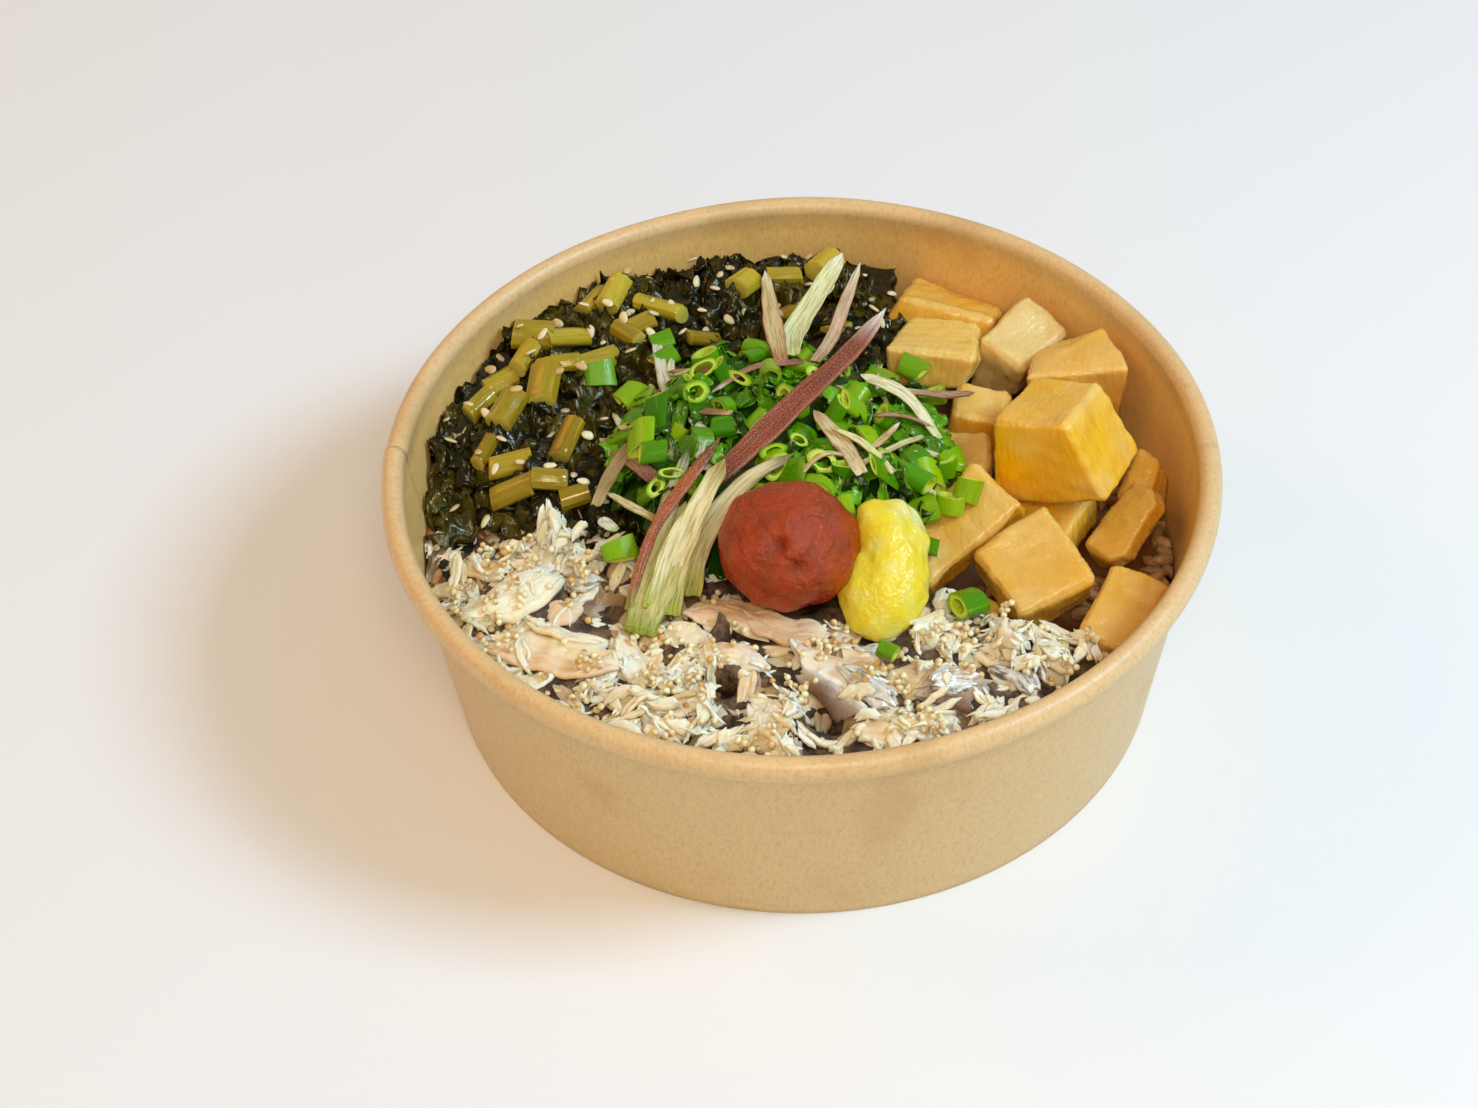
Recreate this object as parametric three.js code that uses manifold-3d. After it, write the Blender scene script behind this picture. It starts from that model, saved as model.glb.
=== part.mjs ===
// A paper takeaway bowl of rice topped with flaked mackerel, pickled mustard greens, simmered
// daikon, a salted plum, a spoon of yellow paste, scallions and strips of ginger bud.
// Millimetres, +Z up, the origin on the table under the middle of the bowl.
// -Y is the front of the bowl, where the mackerel lies, and +X is the daikon's side.
import * as THREE from 'three';
import { mergeVertices } from 'three/addons/utils/BufferGeometryUtils.js';
import { ConvexGeometry } from 'three/addons/geometries/ConvexGeometry.js';
import Module from 'manifold-3d';

const wasm = await Module();
wasm.setup();

// ---------------------------------------------------------------- driving dimensions
// Bowl
const RIM_RADIUS = 82.5;
const BOWL_HEIGHT = 54;
const FOOT_RADIUS = 72.7;
const FOOT_WIDTH = 1.6;
const RECESS = 3.6;
const PAPER = 0.6;
const LIP_WIDTH = 4.5;
const LIP_HEIGHT = 5.4;
const LIP_STEPS = 6;
const AROUND = 60;

// Contents
const GAP = 0.3;
const FLOOR = RECESS + PAPER;
const RICE_LOW = 25;
const RICE_MIDDLE = 29;
const RICE_HIGH = 31.5;
const RICE_SLOPE = 0.09;
const HEAP_FLOOR = 38.3;
const GROUND_CELL = 10;
const NORI_CELL = 15;
const NORI_INSET = 0.985;
const ABOVE_ALL = 90;
// How much larger a small piece is taken to be, to leave room round it.
const ROOM_ROUND = 1.14;

const COLOURS = {
  kraft: 0xd2a870,
  rice: 0xb98d5e,
  nori: 0x14140f,
  mackerel: 0xe3d6c4,
  greens: 0x2b3112,
  daikon: 0xd79a3c,
  plum: 0xa83312,
  paste: 0xf0dd45,
  scallion: 0x4f9a26,
  ginger: 0xcdb488,
};

// ---------------------------------------------------------------- small helpers
const wave = (x, y, length, turn) =>
  Math.sin((2 * Math.PI * (x * Math.cos(turn) + y * Math.sin(turn))) / length);
const hump = (x, y, [cx, cy, spread]) => Math.exp(-((x - cx) ** 2 + (y - cy) ** 2) / (2 * spread ** 2));
const radians = THREE.MathUtils.degToRad;

// Numbers from 0 to 1 that come out the same each time.
function seeded(seed) {
  let state = seed;
  return () => {
    state = (state + 0x6d2b79f5) | 0;
    let mixed = Math.imul(state ^ (state >>> 15), state | 1);
    mixed ^= mixed + Math.imul(mixed ^ (mixed >>> 7), mixed | 61);
    return ((mixed ^ (mixed >>> 14)) >>> 0) / 2 ** 32;
  };
}

function between(random, low, high) {
  return low + (high - low) * random();
}

// Places inside a region, each at least `spacing` from the others, until `count` are found.
function spread(random, count, spacing, region) {
  const places = [];
  for (let tries = 0; tries < count * 60 && places.length < count; tries++) {
    const x = between(random, region.low[0], region.high[0]);
    const y = between(random, region.low[1], region.high[1]);
    const free = places.every((place) => Math.hypot(place[0] - x, place[1] - y) > spacing);
    if (free && region.holds(x, y)) places.push([x, y]);
  }
  return places;
}

// ---------------------------------------------------------------- solids and geometries
function solidOf(geometry) {
  const bare = geometry.index ? geometry.toNonIndexed() : geometry.clone();
  bare.deleteAttribute('normal');
  bare.deleteAttribute('uv');
  const merged = mergeVertices(bare, 1e-3);
  const corners = merged.index.array;
  const faces = [];
  for (let i = 0; i < corners.length; i += 3) {
    const [a, b, c] = [corners[i], corners[i + 1], corners[i + 2]];
    if (a !== b && b !== c && c !== a) faces.push(a, b, c);
  }
  const make = (triVerts) =>
    new wasm.Manifold(
      new wasm.Mesh({
        numProp: 3,
        vertProperties: merged.attributes.position.array,
        triVerts: new Uint32Array(triVerts),
      }),
    );
  const solid = make(faces);
  return solid.volume() > 0 ? solid : make(faces.reverse());
}

function geometryOf(solid) {
  const mesh = solid.getMesh();
  const geometry = new THREE.BufferGeometry();
  geometry.setAttribute('position', new THREE.BufferAttribute(mesh.vertProperties, 3));
  geometry.setIndex(new THREE.BufferAttribute(mesh.triVerts, 1));
  geometry.computeVertexNormals();
  return geometry;
}

// The largest body of a solid. Loose scraps and sealed hollows are left behind.
function largest(solid) {
  const bodies = solid.decompose();
  return bodies.reduce((most, body) => (body.volume() > most.volume() ? body : most));
}

const together = (solids) => wasm.Manifold.union(solids);
const cut = (solid, rooms) => (rooms.length ? solid.subtract(together(rooms)) : solid);

// A closed skin over a row of rings with the same number of points, capped at both ends.
function loft(rings) {
  const count = rings[0].length;
  const last = (rings.length - 1) * count;
  const index = [];
  for (let ring = 0; ring + 1 < rings.length; ring++) {
    for (let side = 0; side < count; side++) {
      const a = ring * count + side;
      const b = ring * count + ((side + 1) % count);
      index.push(a, b, b + count, a, b + count, a + count);
    }
  }
  for (let side = 1; side + 1 < count; side++) {
    index.push(0, side + 1, side);
    index.push(last, last + side, last + side + 1);
  }
  const geometry = new THREE.BufferGeometry().setFromPoints(rings.flat());
  return geometry.setIndex(index);
}

// Puts a geometry at a place, turned about X (pitch), Y (roll) and then Z (yaw), in degrees.
function placed(geometry, at, [yaw, pitch, roll]) {
  const turn = new THREE.Euler(radians(pitch), radians(roll), radians(yaw), 'ZXY');
  const matrix = new THREE.Matrix4().makeRotationFromEuler(turn).setPosition(...at);
  return geometry.clone().applyMatrix4(matrix);
}

// A strip along a smooth line through points: flat, with pointed ends if wanted, and cupped.
function stripGeometry(points, { width, thickness, cup = 0, tip = 0.25, root = 0.6, steps = 5 }) {
  const line = new THREE.CatmullRomCurve3(points.map((point) => new THREE.Vector3(...point)));
  const up = new THREE.Vector3(0, 0, 1);
  const rings = [];
  for (let step = 0; step <= steps; step++) {
    const along = step / steps;
    const middle = line.getPointAt(along);
    const forward = line.getTangentAt(along);
    const side = new THREE.Vector3().crossVectors(forward, up).normalize();
    const top = new THREE.Vector3().crossVectors(side, forward).normalize();
    const ends = THREE.MathUtils.lerp(tip, root, along);
    const half = (width / 2) * (ends + (1 - ends) * Math.sin(Math.PI * Math.min(0.5, along + 0.12)));
    const edge = [[-1, 0], [-0.45, 1], [0.45, 1], [1, 0], [0.45, -1], [-0.45, -1]];
    rings.push(
      edge.map(([across, over]) =>
        middle
          .clone()
          .addScaledVector(side, across * half)
          .addScaledVector(top, (over * thickness) / 2 - cup * half * (1 - across * across)),
      ),
    );
  }
  return loft(rings);
}

// A grain, seed or berry with few sides.
function grainGeometry(length, width, sides = 6, rows = 4) {
  return new THREE.SphereGeometry(0.5, sides, rows).scale(width, length, width);
}

// A hollow green ring cut from a scallion stalk, lying along Y.
function ringGeometry(radius, length, sides = 8) {
  const wall = radius * 0.32;
  const profile = [
    new THREE.Vector2(radius - wall, -length / 2),
    new THREE.Vector2(radius, -length / 2),
    new THREE.Vector2(radius, length / 2),
    new THREE.Vector2(radius - wall, length / 2),
    new THREE.Vector2(radius - wall, -length / 2),
  ];
  return new THREE.LatheGeometry(profile, sides);
}

// ---------------------------------------------------------------- the bowl
const LIP_FLOOR = BOWL_HEIGHT - LIP_HEIGHT;
const WALL_TOP_RADIUS = RIM_RADIUS - LIP_WIDTH + PAPER * 1.5;
const wallRadius = (z) => THREE.MathUtils.mapLinear(z, 0, LIP_FLOOR, FOOT_RADIUS, WALL_TOP_RADIUS);
const insideRadius = (z) => wallRadius(z) - PAPER;

function turned(profile) {
  return new THREE.LatheGeometry(profile, AROUND).rotateX(Math.PI / 2);
}

function bowlGeometry() {
  const middle = new THREE.Vector2(RIM_RADIUS - LIP_WIDTH / 2, BOWL_HEIGHT - LIP_HEIGHT / 2);
  const lip = [];
  for (let step = 0; step <= LIP_STEPS; step++) {
    const angle = THREE.MathUtils.lerp(-0.45 * Math.PI, Math.PI, step / LIP_STEPS);
    lip.push(
      new THREE.Vector2(
        middle.x + (Math.cos(angle) * LIP_WIDTH) / 2,
        middle.y + (Math.sin(angle) * LIP_HEIGHT) / 2,
      ),
    );
  }
  const profile = [
    new THREE.Vector2(0, RECESS),
    new THREE.Vector2(FOOT_RADIUS - FOOT_WIDTH, RECESS),
    new THREE.Vector2(FOOT_RADIUS - FOOT_WIDTH, 0),
    new THREE.Vector2(FOOT_RADIUS, 0),
    new THREE.Vector2(wallRadius(LIP_FLOOR), LIP_FLOOR),
    ...lip,
    new THREE.Vector2(insideRadius(LIP_FLOOR), LIP_FLOOR),
    new THREE.Vector2(insideRadius(FLOOR), FLOOR),
    new THREE.Vector2(0, FLOOR),
  ];
  return turned(profile);
}

// The room inside the bowl, a gap away from its wall and floor, between two heights.
function roomInside(low, high) {
  const rim = Math.min(high, BOWL_HEIGHT);
  const profile = [
    new THREE.Vector2(0, low),
    new THREE.Vector2(insideRadius(low) - GAP, low),
    new THREE.Vector2(insideRadius(rim) - GAP * 2, rim),
    new THREE.Vector2(insideRadius(rim) - GAP * 2, high),
    new THREE.Vector2(0, high),
  ];
  return solidOf(turned(profile));
}

// ---------------------------------------------------------------- what lies on what
const inside = roomInside(FLOOR + GAP, ABOVE_ALL);

// The rice lies higher on the left, and the daikon has pressed it down on the right.
const riceTop = (x) => THREE.MathUtils.clamp(RICE_MIDDLE - RICE_SLOPE * x, RICE_LOW, RICE_HIGH);

// A layer of ground: its top and floor follow two heights. Its outline is a polygon, which
// `inset` draws in towards its middle.
function groundSolid(outline, height, floor, cell, inset = 1) {
  const xs = outline.map((point) => point[0]);
  const ys = outline.map((point) => point[1]);
  const low = [Math.min(...xs), Math.min(...ys)];
  const size = [Math.max(...xs) - low[0], Math.max(...ys) - low[1]];
  const grid = new THREE.BoxGeometry(...size, 2, Math.round(size[0] / cell), Math.round(size[1] / cell), 1);
  grid.translate(low[0] + size[0] / 2, low[1] + size[1] / 2, 0);
  const places = grid.attributes.position;
  for (let i = 0; i < places.count; i++) {
    const level = places.getZ(i) > 0 ? height : floor;
    places.setZ(i, level(places.getX(i), places.getY(i)));
  }
  const middle = new THREE.Vector2(low[0] + size[0] / 2, low[1] + size[1] / 2);
  const drawnIn = (point) => new THREE.Vector2(...point).sub(middle).multiplyScalar(inset).add(middle);
  const edge = outline.map(drawnIn);
  const shape = new THREE.Shape(edge);
  const prism = new THREE.ExtrudeGeometry(shape, { depth: ABOVE_ALL, bevelEnabled: false });
  return solidOf(grid).intersect(solidOf(prism)).intersect(inside);
}

// True where a small piece crosses none of the others, with a little room round it.
function isClear(piece, others) {
  const box = piece.boundingBox();
  const middle = box.min.map((low, axis) => (low + box.max[axis]) / 2);
  const back = middle.map((value) => -value);
  const swollen = piece.translate(back).scale(ROOM_ROUND).translate(middle);
  return others.every((other) => swollen.intersect(other).isEmpty());
}

// Fuses onto a core the pieces that touch it, stay inside the bowl and cross nothing else.
function pile(core, pieces, others) {
  const kept = pieces.filter(
    (piece) => isClear(piece, others) && piece.subtract(inside).isEmpty() && !piece.intersect(core).isEmpty(),
  );
  return largest(together([core, ...kept]));
}

// ---------------------------------------------------------------- rice
// Single grains show only between the daikon blocks.
const RICE_SHOWS = { low: [24, -44], high: [76, 4], holds: (x, y) => Math.hypot(x, y) < 73 && x - y > 40 };
const RICE_GRAIN = { length: 6.2, width: 2.7, spacing: 5 };
const RICE_GRAINS = 16;

// The rice up to its top, or with a gap of room over it.
function riceSolid(grow) {
  const half = RIM_RADIUS;
  const bends = [RICE_HIGH, RICE_LOW].map((level) => (RICE_MIDDLE - level) / RICE_SLOPE);
  const side = new THREE.Shape([
    new THREE.Vector2(-half, 0),
    new THREE.Vector2(half, 0),
    ...[half, bends[1], bends[0], -half].map((x) => new THREE.Vector2(x, riceTop(x) + grow)),
  ]);
  const slab = new THREE.ExtrudeGeometry(side, { depth: 2 * half, bevelEnabled: false });
  slab.rotateX(Math.PI / 2).translate(0, half, 0);
  return solidOf(slab).intersect(grow ? roomInside(0, ABOVE_ALL) : inside);
}

function ricePieces() {
  const random = seeded(11);
  return spread(random, RICE_GRAINS, RICE_GRAIN.spacing, RICE_SHOWS).map(([x, y]) => {
    const grain = grainGeometry(RICE_GRAIN.length, RICE_GRAIN.width, 6, 4);
    const turn = [between(random, 0, 180), between(random, -25, 25), 0];
    return solidOf(placed(grain, [x, y, riceTop(x) + between(random, -0.2, 0.6)], turn));
  });
}

// ---------------------------------------------------------------- nori
// A torn sheet of seaweed on the rice, under the mackerel.
const NORI_THICKNESS = 0.6;
const NORI_OUTLINE = [
  [-76, -2], [-44, -8], [-20, -22], [14, -26], [34, -42], [46, -56], [20, -69], [-30, -66], [-62, -42],
];
const noriFloor = (x, y) => riceTop(x) + 1 + 0.5 * wave(x, y, 31, 0.4) + 0.2 * wave(x, y, 19, 2);
const noriTop = (x, y) => noriFloor(x, y) + NORI_THICKNESS;

// ---------------------------------------------------------------- daikon
// Cut blocks of simmered daikon, as uneven as a knife leaves them: the four corners of the top
// face, from its back left corner round, and below them the four of the bottom face. A block from
// the outside of the root keeps its round skin on one side.
const BLOCK_BEVEL = 1;
const SKIN_RISE = 1.8;
const SKIN_SHARES = [0.15, 0.85];
const SIDES = { back: [0, 1], right: [1, 2], front: [2, 3], left: [3, 0] };
const DAIKON = [
  { skin: 'back',
    top: [[25.6, 71.3, 39.4], [45.2, 64.1, 36.5], [41.9, 50.8, 43.2], [22.1, 57.5, 45.3]],
    low: [[22.6, 66, 27.6], [43.3, 60.1, 26.4], [38, 48.7, 35], [15.6, 52.6, 33.8]] },
  { skin: 'back',
    top: [[24.4, 54.9, 41.8], [38.8, 50.8, 43.3], [37.1, 34.8, 46.6], [17.2, 40.1, 46.1]],
    low: [[22.7, 53, 33.3], [40.6, 48.1, 34.1], [34, 33.5, 38.5], [19.2, 37.6, 37.1]] },
  { skin: null,
    top: [[38, 44.1, 44.7], [49.3, 56.6, 46.3], [57.5, 48.1, 42.6], [46.8, 36.3, 41.9]],
    low: [[36, 45.4, 29.2], [47.4, 58.5, 31.6], [56.3, 51.7, 29.9], [45.8, 40.6, 30.1]] },
  { skin: 'back',
    top: [[49.6, 38.2, 46.1], [63.8, 41.5, 50.3], [68.2, 27.8, 49.1], [45.9, 27.8, 47.5]],
    low: [[49.1, 39.4, 31.6], [66.9, 40.7, 34], [67, 28.7, 34], [49.7, 27.4, 31.6]] },
  { skin: null,
    top: [[33.5, 32.5, 43], [44.2, 29.9, 42.1], [41.7, 19.6, 42.1], [31, 22.3, 43]],
    low: [[32.6, 33.2, 29.5], [43.3, 30.6, 28.6], [40.6, 19.4, 28.6], [29.8, 22.1, 29.5]] },
  { skin: null,
    top: [[47.4, 24.2, 50.7], [60, 14.4, 57.7], [51.5, -1.5, 60.3], [38.2, 8.3, 53.1]],
    low: [[51.1, 19, 34.3], [69.2, 9.9, 42.9], [60.4, -7, 44.3], [38.2, 2.5, 35.6]] },
  { skin: 'left',
    top: [[27, 19.5, 41.2], [39, 18.5, 41.6], [38, 6.9, 41.7], [26, 7.9, 41.4]],
    low: [[27.1, 20, 27], [39.8, 19, 27.4], [38.7, 6, 27.6], [26.1, 7, 27.2]] },
  { skin: null,
    top: [[34.3, 1.4, 48.7], [44.1, -7.5, 45.3], [24.4, -21.7, 36.3], [17.4, -11.9, 40.7]],
    low: [[35.9, 5.7, 41.1], [45.1, -3.2, 37.7], [24.8, -17.9, 28], [17.2, -8.3, 32.3]] },
  { skin: null,
    top: [[33.1, -19.6, 44.2], [47.6, -11.4, 49.7], [56.6, -26.7, 43.7], [41.6, -33.2, 39.9]],
    low: [[34.1, -14.9, 34.5], [48.6, -7.6, 38.9], [57.2, -22.4, 33.4], [42.9, -29, 29.7]] },
  { skin: 'right',
    top: [[66.7, 5.4, 40.1], [70.4, 0.4, 41.8], [60.9, -12.2, 32.7], [56.1, -5.8, 32.4]],
    low: [[69.9, 6.2, 34.1], [73.7, 1.8, 36.4], [65.3, -9.4, 29], [60.3, -6.4, 25.1]] },
  { skin: null,
    top: [[68.5, 12.3, 42.2], [72.5, 8.7, 41.3], [69.1, 0.3, 36.5], [63.7, 2.9, 36.1]],
    low: [[72.4, 18.2, 27.1], [77.3, 15.6, 27.4], [73.7, 7, 25.6], [68, 9.4, 25.6]] },
  { skin: 'right',
    top: [[60.1, -20.8, 42.4], [71.6, -25.8, 41.4], [62.2, -43.1, 38.9], [52.3, -37.5, 40.8]],
    low: [[59.6, -18.6, 28.9], [70.4, -23.8, 27.5], [61.6, -40.8, 25.3], [51.1, -35.5, 26.9]] },
  { skin: null,
    top: [[46.9, 14.5, 34.6], [60.1, 7.5, 34.6], [53.1, -5.7, 34.6], [39.9, 1.3, 34.6]],
    low: [[46.6, 15.6, 26.2], [61.2, 7.8, 26.2], [53.4, -6.8, 26.2], [38.8, 1, 26.2]] },
  { skin: null,
    top: [[32.1, -16.7, 32.8], [39.4, -22.8, 32.8], [35.1, -28.1, 32.8], [27.8, -22, 32.8]],
    low: [[32, -16.1, 26], [40.1, -22.9, 26], [35.2, -28.7, 26], [27.1, -21.9, 26]] },
];

// The three corners that an edge joins to a corner, by their places in the list of eight.
const neighbours = (order) => {
  const face = order & 4;
  return [face + ((order + 1) & 3), face + ((order + 3) & 3), order ^ 4];
};

function blockGeometry({ top, low, skin }, grow) {
  const corners = [...top, ...low].map((corner) => new THREE.Vector3(...corner));
  const points = [];
  corners.forEach((corner, order) => {
    const ways = neighbours(order).map((other) => corner.clone().sub(corners[other]).normalize());
    const outer = ways.reduce((place, way) => place.addScaledVector(way, grow - BLOCK_BEVEL), corner.clone());
    ways.forEach((way) => points.push(outer.clone().addScaledVector(way, BLOCK_BEVEL)));
  });
  if (skin) {
    const [first, second] = SIDES[skin];
    const across = corners[second].clone().sub(corners[first]);
    const down = corners[first + 4].clone().sub(corners[first]);
    const outward = across.cross(down).normalize();
    for (const share of SKIN_SHARES) {
      const upper = corners[first].clone().lerp(corners[second], share);
      const lower = corners[first + 4].clone().lerp(corners[second + 4], share);
      for (const depth of SKIN_SHARES) {
        points.push(upper.clone().lerp(lower, depth).addScaledVector(outward, SKIN_RISE + grow));
      }
    }
  }
  return new ConvexGeometry(points);
}

// Each block is trimmed where it would press into the wall or into a block placed before it.
function daikonBlocks() {
  const blocks = [];
  DAIKON.forEach((block) => {
    const grown = (by) => solidOf(blockGeometry(block, by));
    const solid = cut(grown(0).intersect(inside), [riceRoom, ...blocks.map(({ room }) => room)]);
    blocks.push({ solid: largest(solid), room: grown(GAP) });
  });
  return blocks;
}

// Scallion rings that lie on single blocks: the block's number, the middle, radius, length, turn.
const RINGS_ON_DAIKON = [
  { block: 8, at: [29.2, -8.2, 46.4], radius: 3.2, length: 3.4, turn: [-20, 62, 0] },
  { block: 8, at: [32.9, -5.6, 47.7], radius: 2.8, length: 4.2, turn: [-30, 50, 0] },
  { block: 8, at: [24.7, -15.2, 41.6], radius: 2.2, length: 4.4, turn: [70, 5, 0] },
  { block: 2, at: [23.6, 34.9, 44.2], radius: 2.8, length: 5.2, turn: [60, 10, 0] },
];

// ---------------------------------------------------------------- salted plum
const PLUM = { at: [-2.4, -24.6, 52], radius: 13.5, flat: 0.85, folds: 0.9 };
const PLUM_PIT = new THREE.Vector3(-0.12, -0.66, 0.74).normalize();

// How far the skin stands in or out along a direction from the plum's middle.
function plumRelief(direction) {
  const { x, y, z } = direction;
  const turn = Math.atan2(y, x);
  const across = 0.35 * Math.sin(5 * turn + 3 * z) + 0.25 * Math.sin(9 * turn - 5 * z);
  const folds = across + 0.25 * Math.sin(8 * z + 2 * x);
  const pit = Math.exp(-((direction.angleTo(PLUM_PIT) / 0.22) ** 2));
  return folds - 2 * pit;
}

function plumGeometry(grow) {
  const geometry = new THREE.SphereGeometry(1, 20, 13).rotateX(Math.PI / 2);
  const places = geometry.attributes.position;
  const direction = new THREE.Vector3();
  for (let i = 0; i < places.count; i++) {
    direction.fromBufferAttribute(places, i).normalize();
    const reach = PLUM.radius + (grow ? PLUM.folds + grow : plumRelief(direction));
    places.setXYZ(i, direction.x * reach, direction.y * reach, direction.z * reach * PLUM.flat);
  }
  return placed(geometry, PLUM.at, [0, 0, 0]);
}

// ---------------------------------------------------------------- yellow paste
// A squeezed spoonful between the plum and a daikon block: from back to front, each ring's
// middle, half its width and half its height.
const PASTE_SIDES = 14;
const PASTE_RINGS = [
  { at: [16.7, -16, 52], half: [1.9, 1.9] },
  { at: [16.9, -18.1, 51.5], half: [4.2, 3.8] },
  { at: [16.5, -22.3, 49.7], half: [5.9, 5.9] },
  { at: [16.3, -27.1, 47.5], half: [7.6, 7.1] },
  { at: [15.5, -32, 45.7], half: [8, 6.9] },
  { at: [14.6, -36.5, 44.3], half: [6.2, 5.7] },
  { at: [14.3, -39.5, 43.3], half: [2.9, 3.1] },
];

function pasteSolid(grow) {
  const rings = PASTE_RINGS.map(({ at, half }, order) => {
    const ring = [];
    const end = 1 - (2 * order) / (PASTE_RINGS.length - 1);
    for (let side = 0; side < PASTE_SIDES; side++) {
      const angle = (2 * Math.PI * side) / PASTE_SIDES;
      const lobe = 1 + 0.07 * Math.sin(3 * angle + order);
      ring.push(
        new THREE.Vector3(
          at[0] + Math.cos(angle) * (half[0] * lobe + grow),
          at[1] + Math.sin(angle) * half[1] * 0.35 + grow * end,
          at[2] + Math.sin(angle) * (half[1] * lobe + grow),
        ),
      );
    }
    return ring;
  });
  return solidOf(loft(rings));
}

// ---------------------------------------------------------------- strips of ginger bud
// Each strip runs from its tip to its root through points on and above the scallion heap.
const GINGER = [
  { name: 'red', width: 5, thickness: 1.5, cup: 0.22,
    points: [[18.5, 44.6, 52.5], [10.5, 26.7, 56], [0.2, 11.5, 57.2], [-10.1, -1.6, 56], [-18, -9.7, 53.4]] },
  { name: 'fan_left', width: 4, thickness: 0.9, cup: 0.15,
    points: [[-21.6, 0.1, 55.2], [-25.3, -11.1, 51.4], [-29, -22.8, 46.4], [-31.4, -32.8, 43.4]] },
  { name: 'fan_middle', width: 4.4, thickness: 0.9, cup: 0.15,
    points: [[-14.6, -5.6, 57], [-19.9, -15.2, 53.2], [-24.5, -24.7, 48.4], [-26.9, -34.2, 44]] },
  { name: 'fan_right', width: 4.2, thickness: 0.9, cup: 0.15,
    points: [[-0.9, -5.1, 57.8], [-10.7, -10.9, 55.6], [-19.3, -20.6, 49.6], [-22.4, -30, 44.8]] },
  { name: 'pink', width: 3.4, thickness: 0.9, cup: 0.15,
    points: [[-40.4, 12.5, 46.6], [-35.2, 4.7, 49.4], [-28.6, -5.4, 51.8]] },
  { name: 'tan', width: 3.2, thickness: 0.9, cup: 0.15,
    points: [[-6.7, 58.6, 52], [-5.2, 40.2, 53.5], [-3.3, 24.1, 55.6]] },
  { name: 'pale', width: 3.8, thickness: 0.9, cup: 0.15,
    points: [[9.8, 58.8, 56], [4.8, 50.8, 52.8], [-0.6, 38.5, 52], [-0.9, 28.3, 54.4]] },
  { name: 'blush', width: 2.8, thickness: 0.8, cup: 0.1,
    points: [[13.6, 59.4, 53], [9.9, 47.2, 51.6], [6.9, 35.4, 52.2], [3.4, 25.6, 54.6]] },
  { name: 'curved', width: 2.8, thickness: 0.8, cup: 0.1,
    points: [[12.4, 19.8, 56], [21.3, 15.1, 54.4], [28, 7, 49.6]] },
  { name: 'thin', width: 1.9, thickness: 0.8, cup: 0,
    points: [[30.3, 14.9, 44.8], [20.8, 3.7, 52], [11.6, -6.2, 55.4]] },
  { name: 'brown', width: 1.7, thickness: 0.8, cup: 0,
    points: [[36, 23.7, 47], [29.2, 20.6, 49.4], [21, 17.6, 53.4]] },
  { name: 'edge', width: 2.9, thickness: 0.8, cup: 0.1,
    points: [[2.9, 6.3, 58.6], [8.8, -2.3, 56.6], [11.9, -9.9, 56.6]] },
  { name: 'back', width: 2.9, thickness: 0.8, cup: 0.1,
    points: [[-30.1, 45.7, 45.6], [-27.8, 28.7, 49.4], [-25.4, 12.6, 53.6]] },
];

function gingerStrip({ points, width, thickness, cup }, grow) {
  const shape = { width: width + 2 * grow, thickness: thickness + 2 * grow, cup };
  return solidOf(stripGeometry(points, shape));
}

// ---------------------------------------------------------------- scallion heap
const HEAP = { at: [-4, 8], half: [35, 31], rise: 15 };
const HEAP_PIECES = 42;
const HEAP_SPACING = 5.6;
const HEAP_REACH = 0.97;
const RING = { radius: [2.2, 3], length: [2.6, 4.8], sides: 7 };
const SHRED = { reach: [4, 7], width: 2.6, thickness: 0.8, bend: 1.6, rise: 1.4, fall: [0.6, 0.9] };

const heapReach = (x, y) => Math.hypot((x - HEAP.at[0]) / HEAP.half[0], (y - HEAP.at[1]) / HEAP.half[1]);
const heapTop = (x, y) => HEAP_FLOOR + HEAP.rise * Math.sqrt(Math.max(0, 1 - heapReach(x, y) ** 4));

function heapSolid(grow) {
  const dome = new THREE.SphereGeometry(1, 18, 8).rotateX(Math.PI / 2);
  const places = dome.attributes.position;
  for (let i = 0; i < places.count; i++) {
    const x = HEAP.at[0] + places.getX(i) * (HEAP.half[0] + grow);
    const y = HEAP.at[1] + places.getY(i) * (HEAP.half[1] + grow);
    const top = heapTop((x - HEAP.at[0]) * 0.99 + HEAP.at[0], (y - HEAP.at[1]) * 0.99 + HEAP.at[1]) + grow;
    places.setXYZ(i, x, y, places.getZ(i) > 1e-6 ? top : HEAP_FLOOR - grow);
  }
  return solidOf(dome);
}

function heapPieces() {
  const random = seeded(23);
  const region = {
    low: [-39, -23],
    high: [31, 39],
    holds: (x, y) => heapReach(x, y) < HEAP_REACH,
  };
  return spread(random, HEAP_PIECES, HEAP_SPACING, region).map(([x, y], order) => {
    const turn = [between(random, 0, 180), between(random, -50, 50), 0];
    const at = [x, y, heapTop(x, y) + between(random, 0.2, 1.4)];
    if (order % 2) {
      const ring = ringGeometry(between(random, ...RING.radius), between(random, ...RING.length), RING.sides);
      return solidOf(placed(ring, at, turn));
    }
    const reach = between(random, ...SHRED.reach);
    const bend = between(random, -SHRED.bend, SHRED.bend);
    const points = [[-reach, 0, -SHRED.fall[0]], [0, bend, SHRED.rise], [reach, 0, -SHRED.fall[1]]];
    return solidOf(placed(stripGeometry(points, { ...SHRED, steps: 2 }), at, turn));
  });
}

// ---------------------------------------------------------------- pickled greens
const GREENS_OUTLINE = [
  [-80, 1], [-46, -2.2], [-30, -13.6], [2, -13.6], [14, -3], [18, 20], [18, 50], [24, 80], [-80, 80],
];

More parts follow.
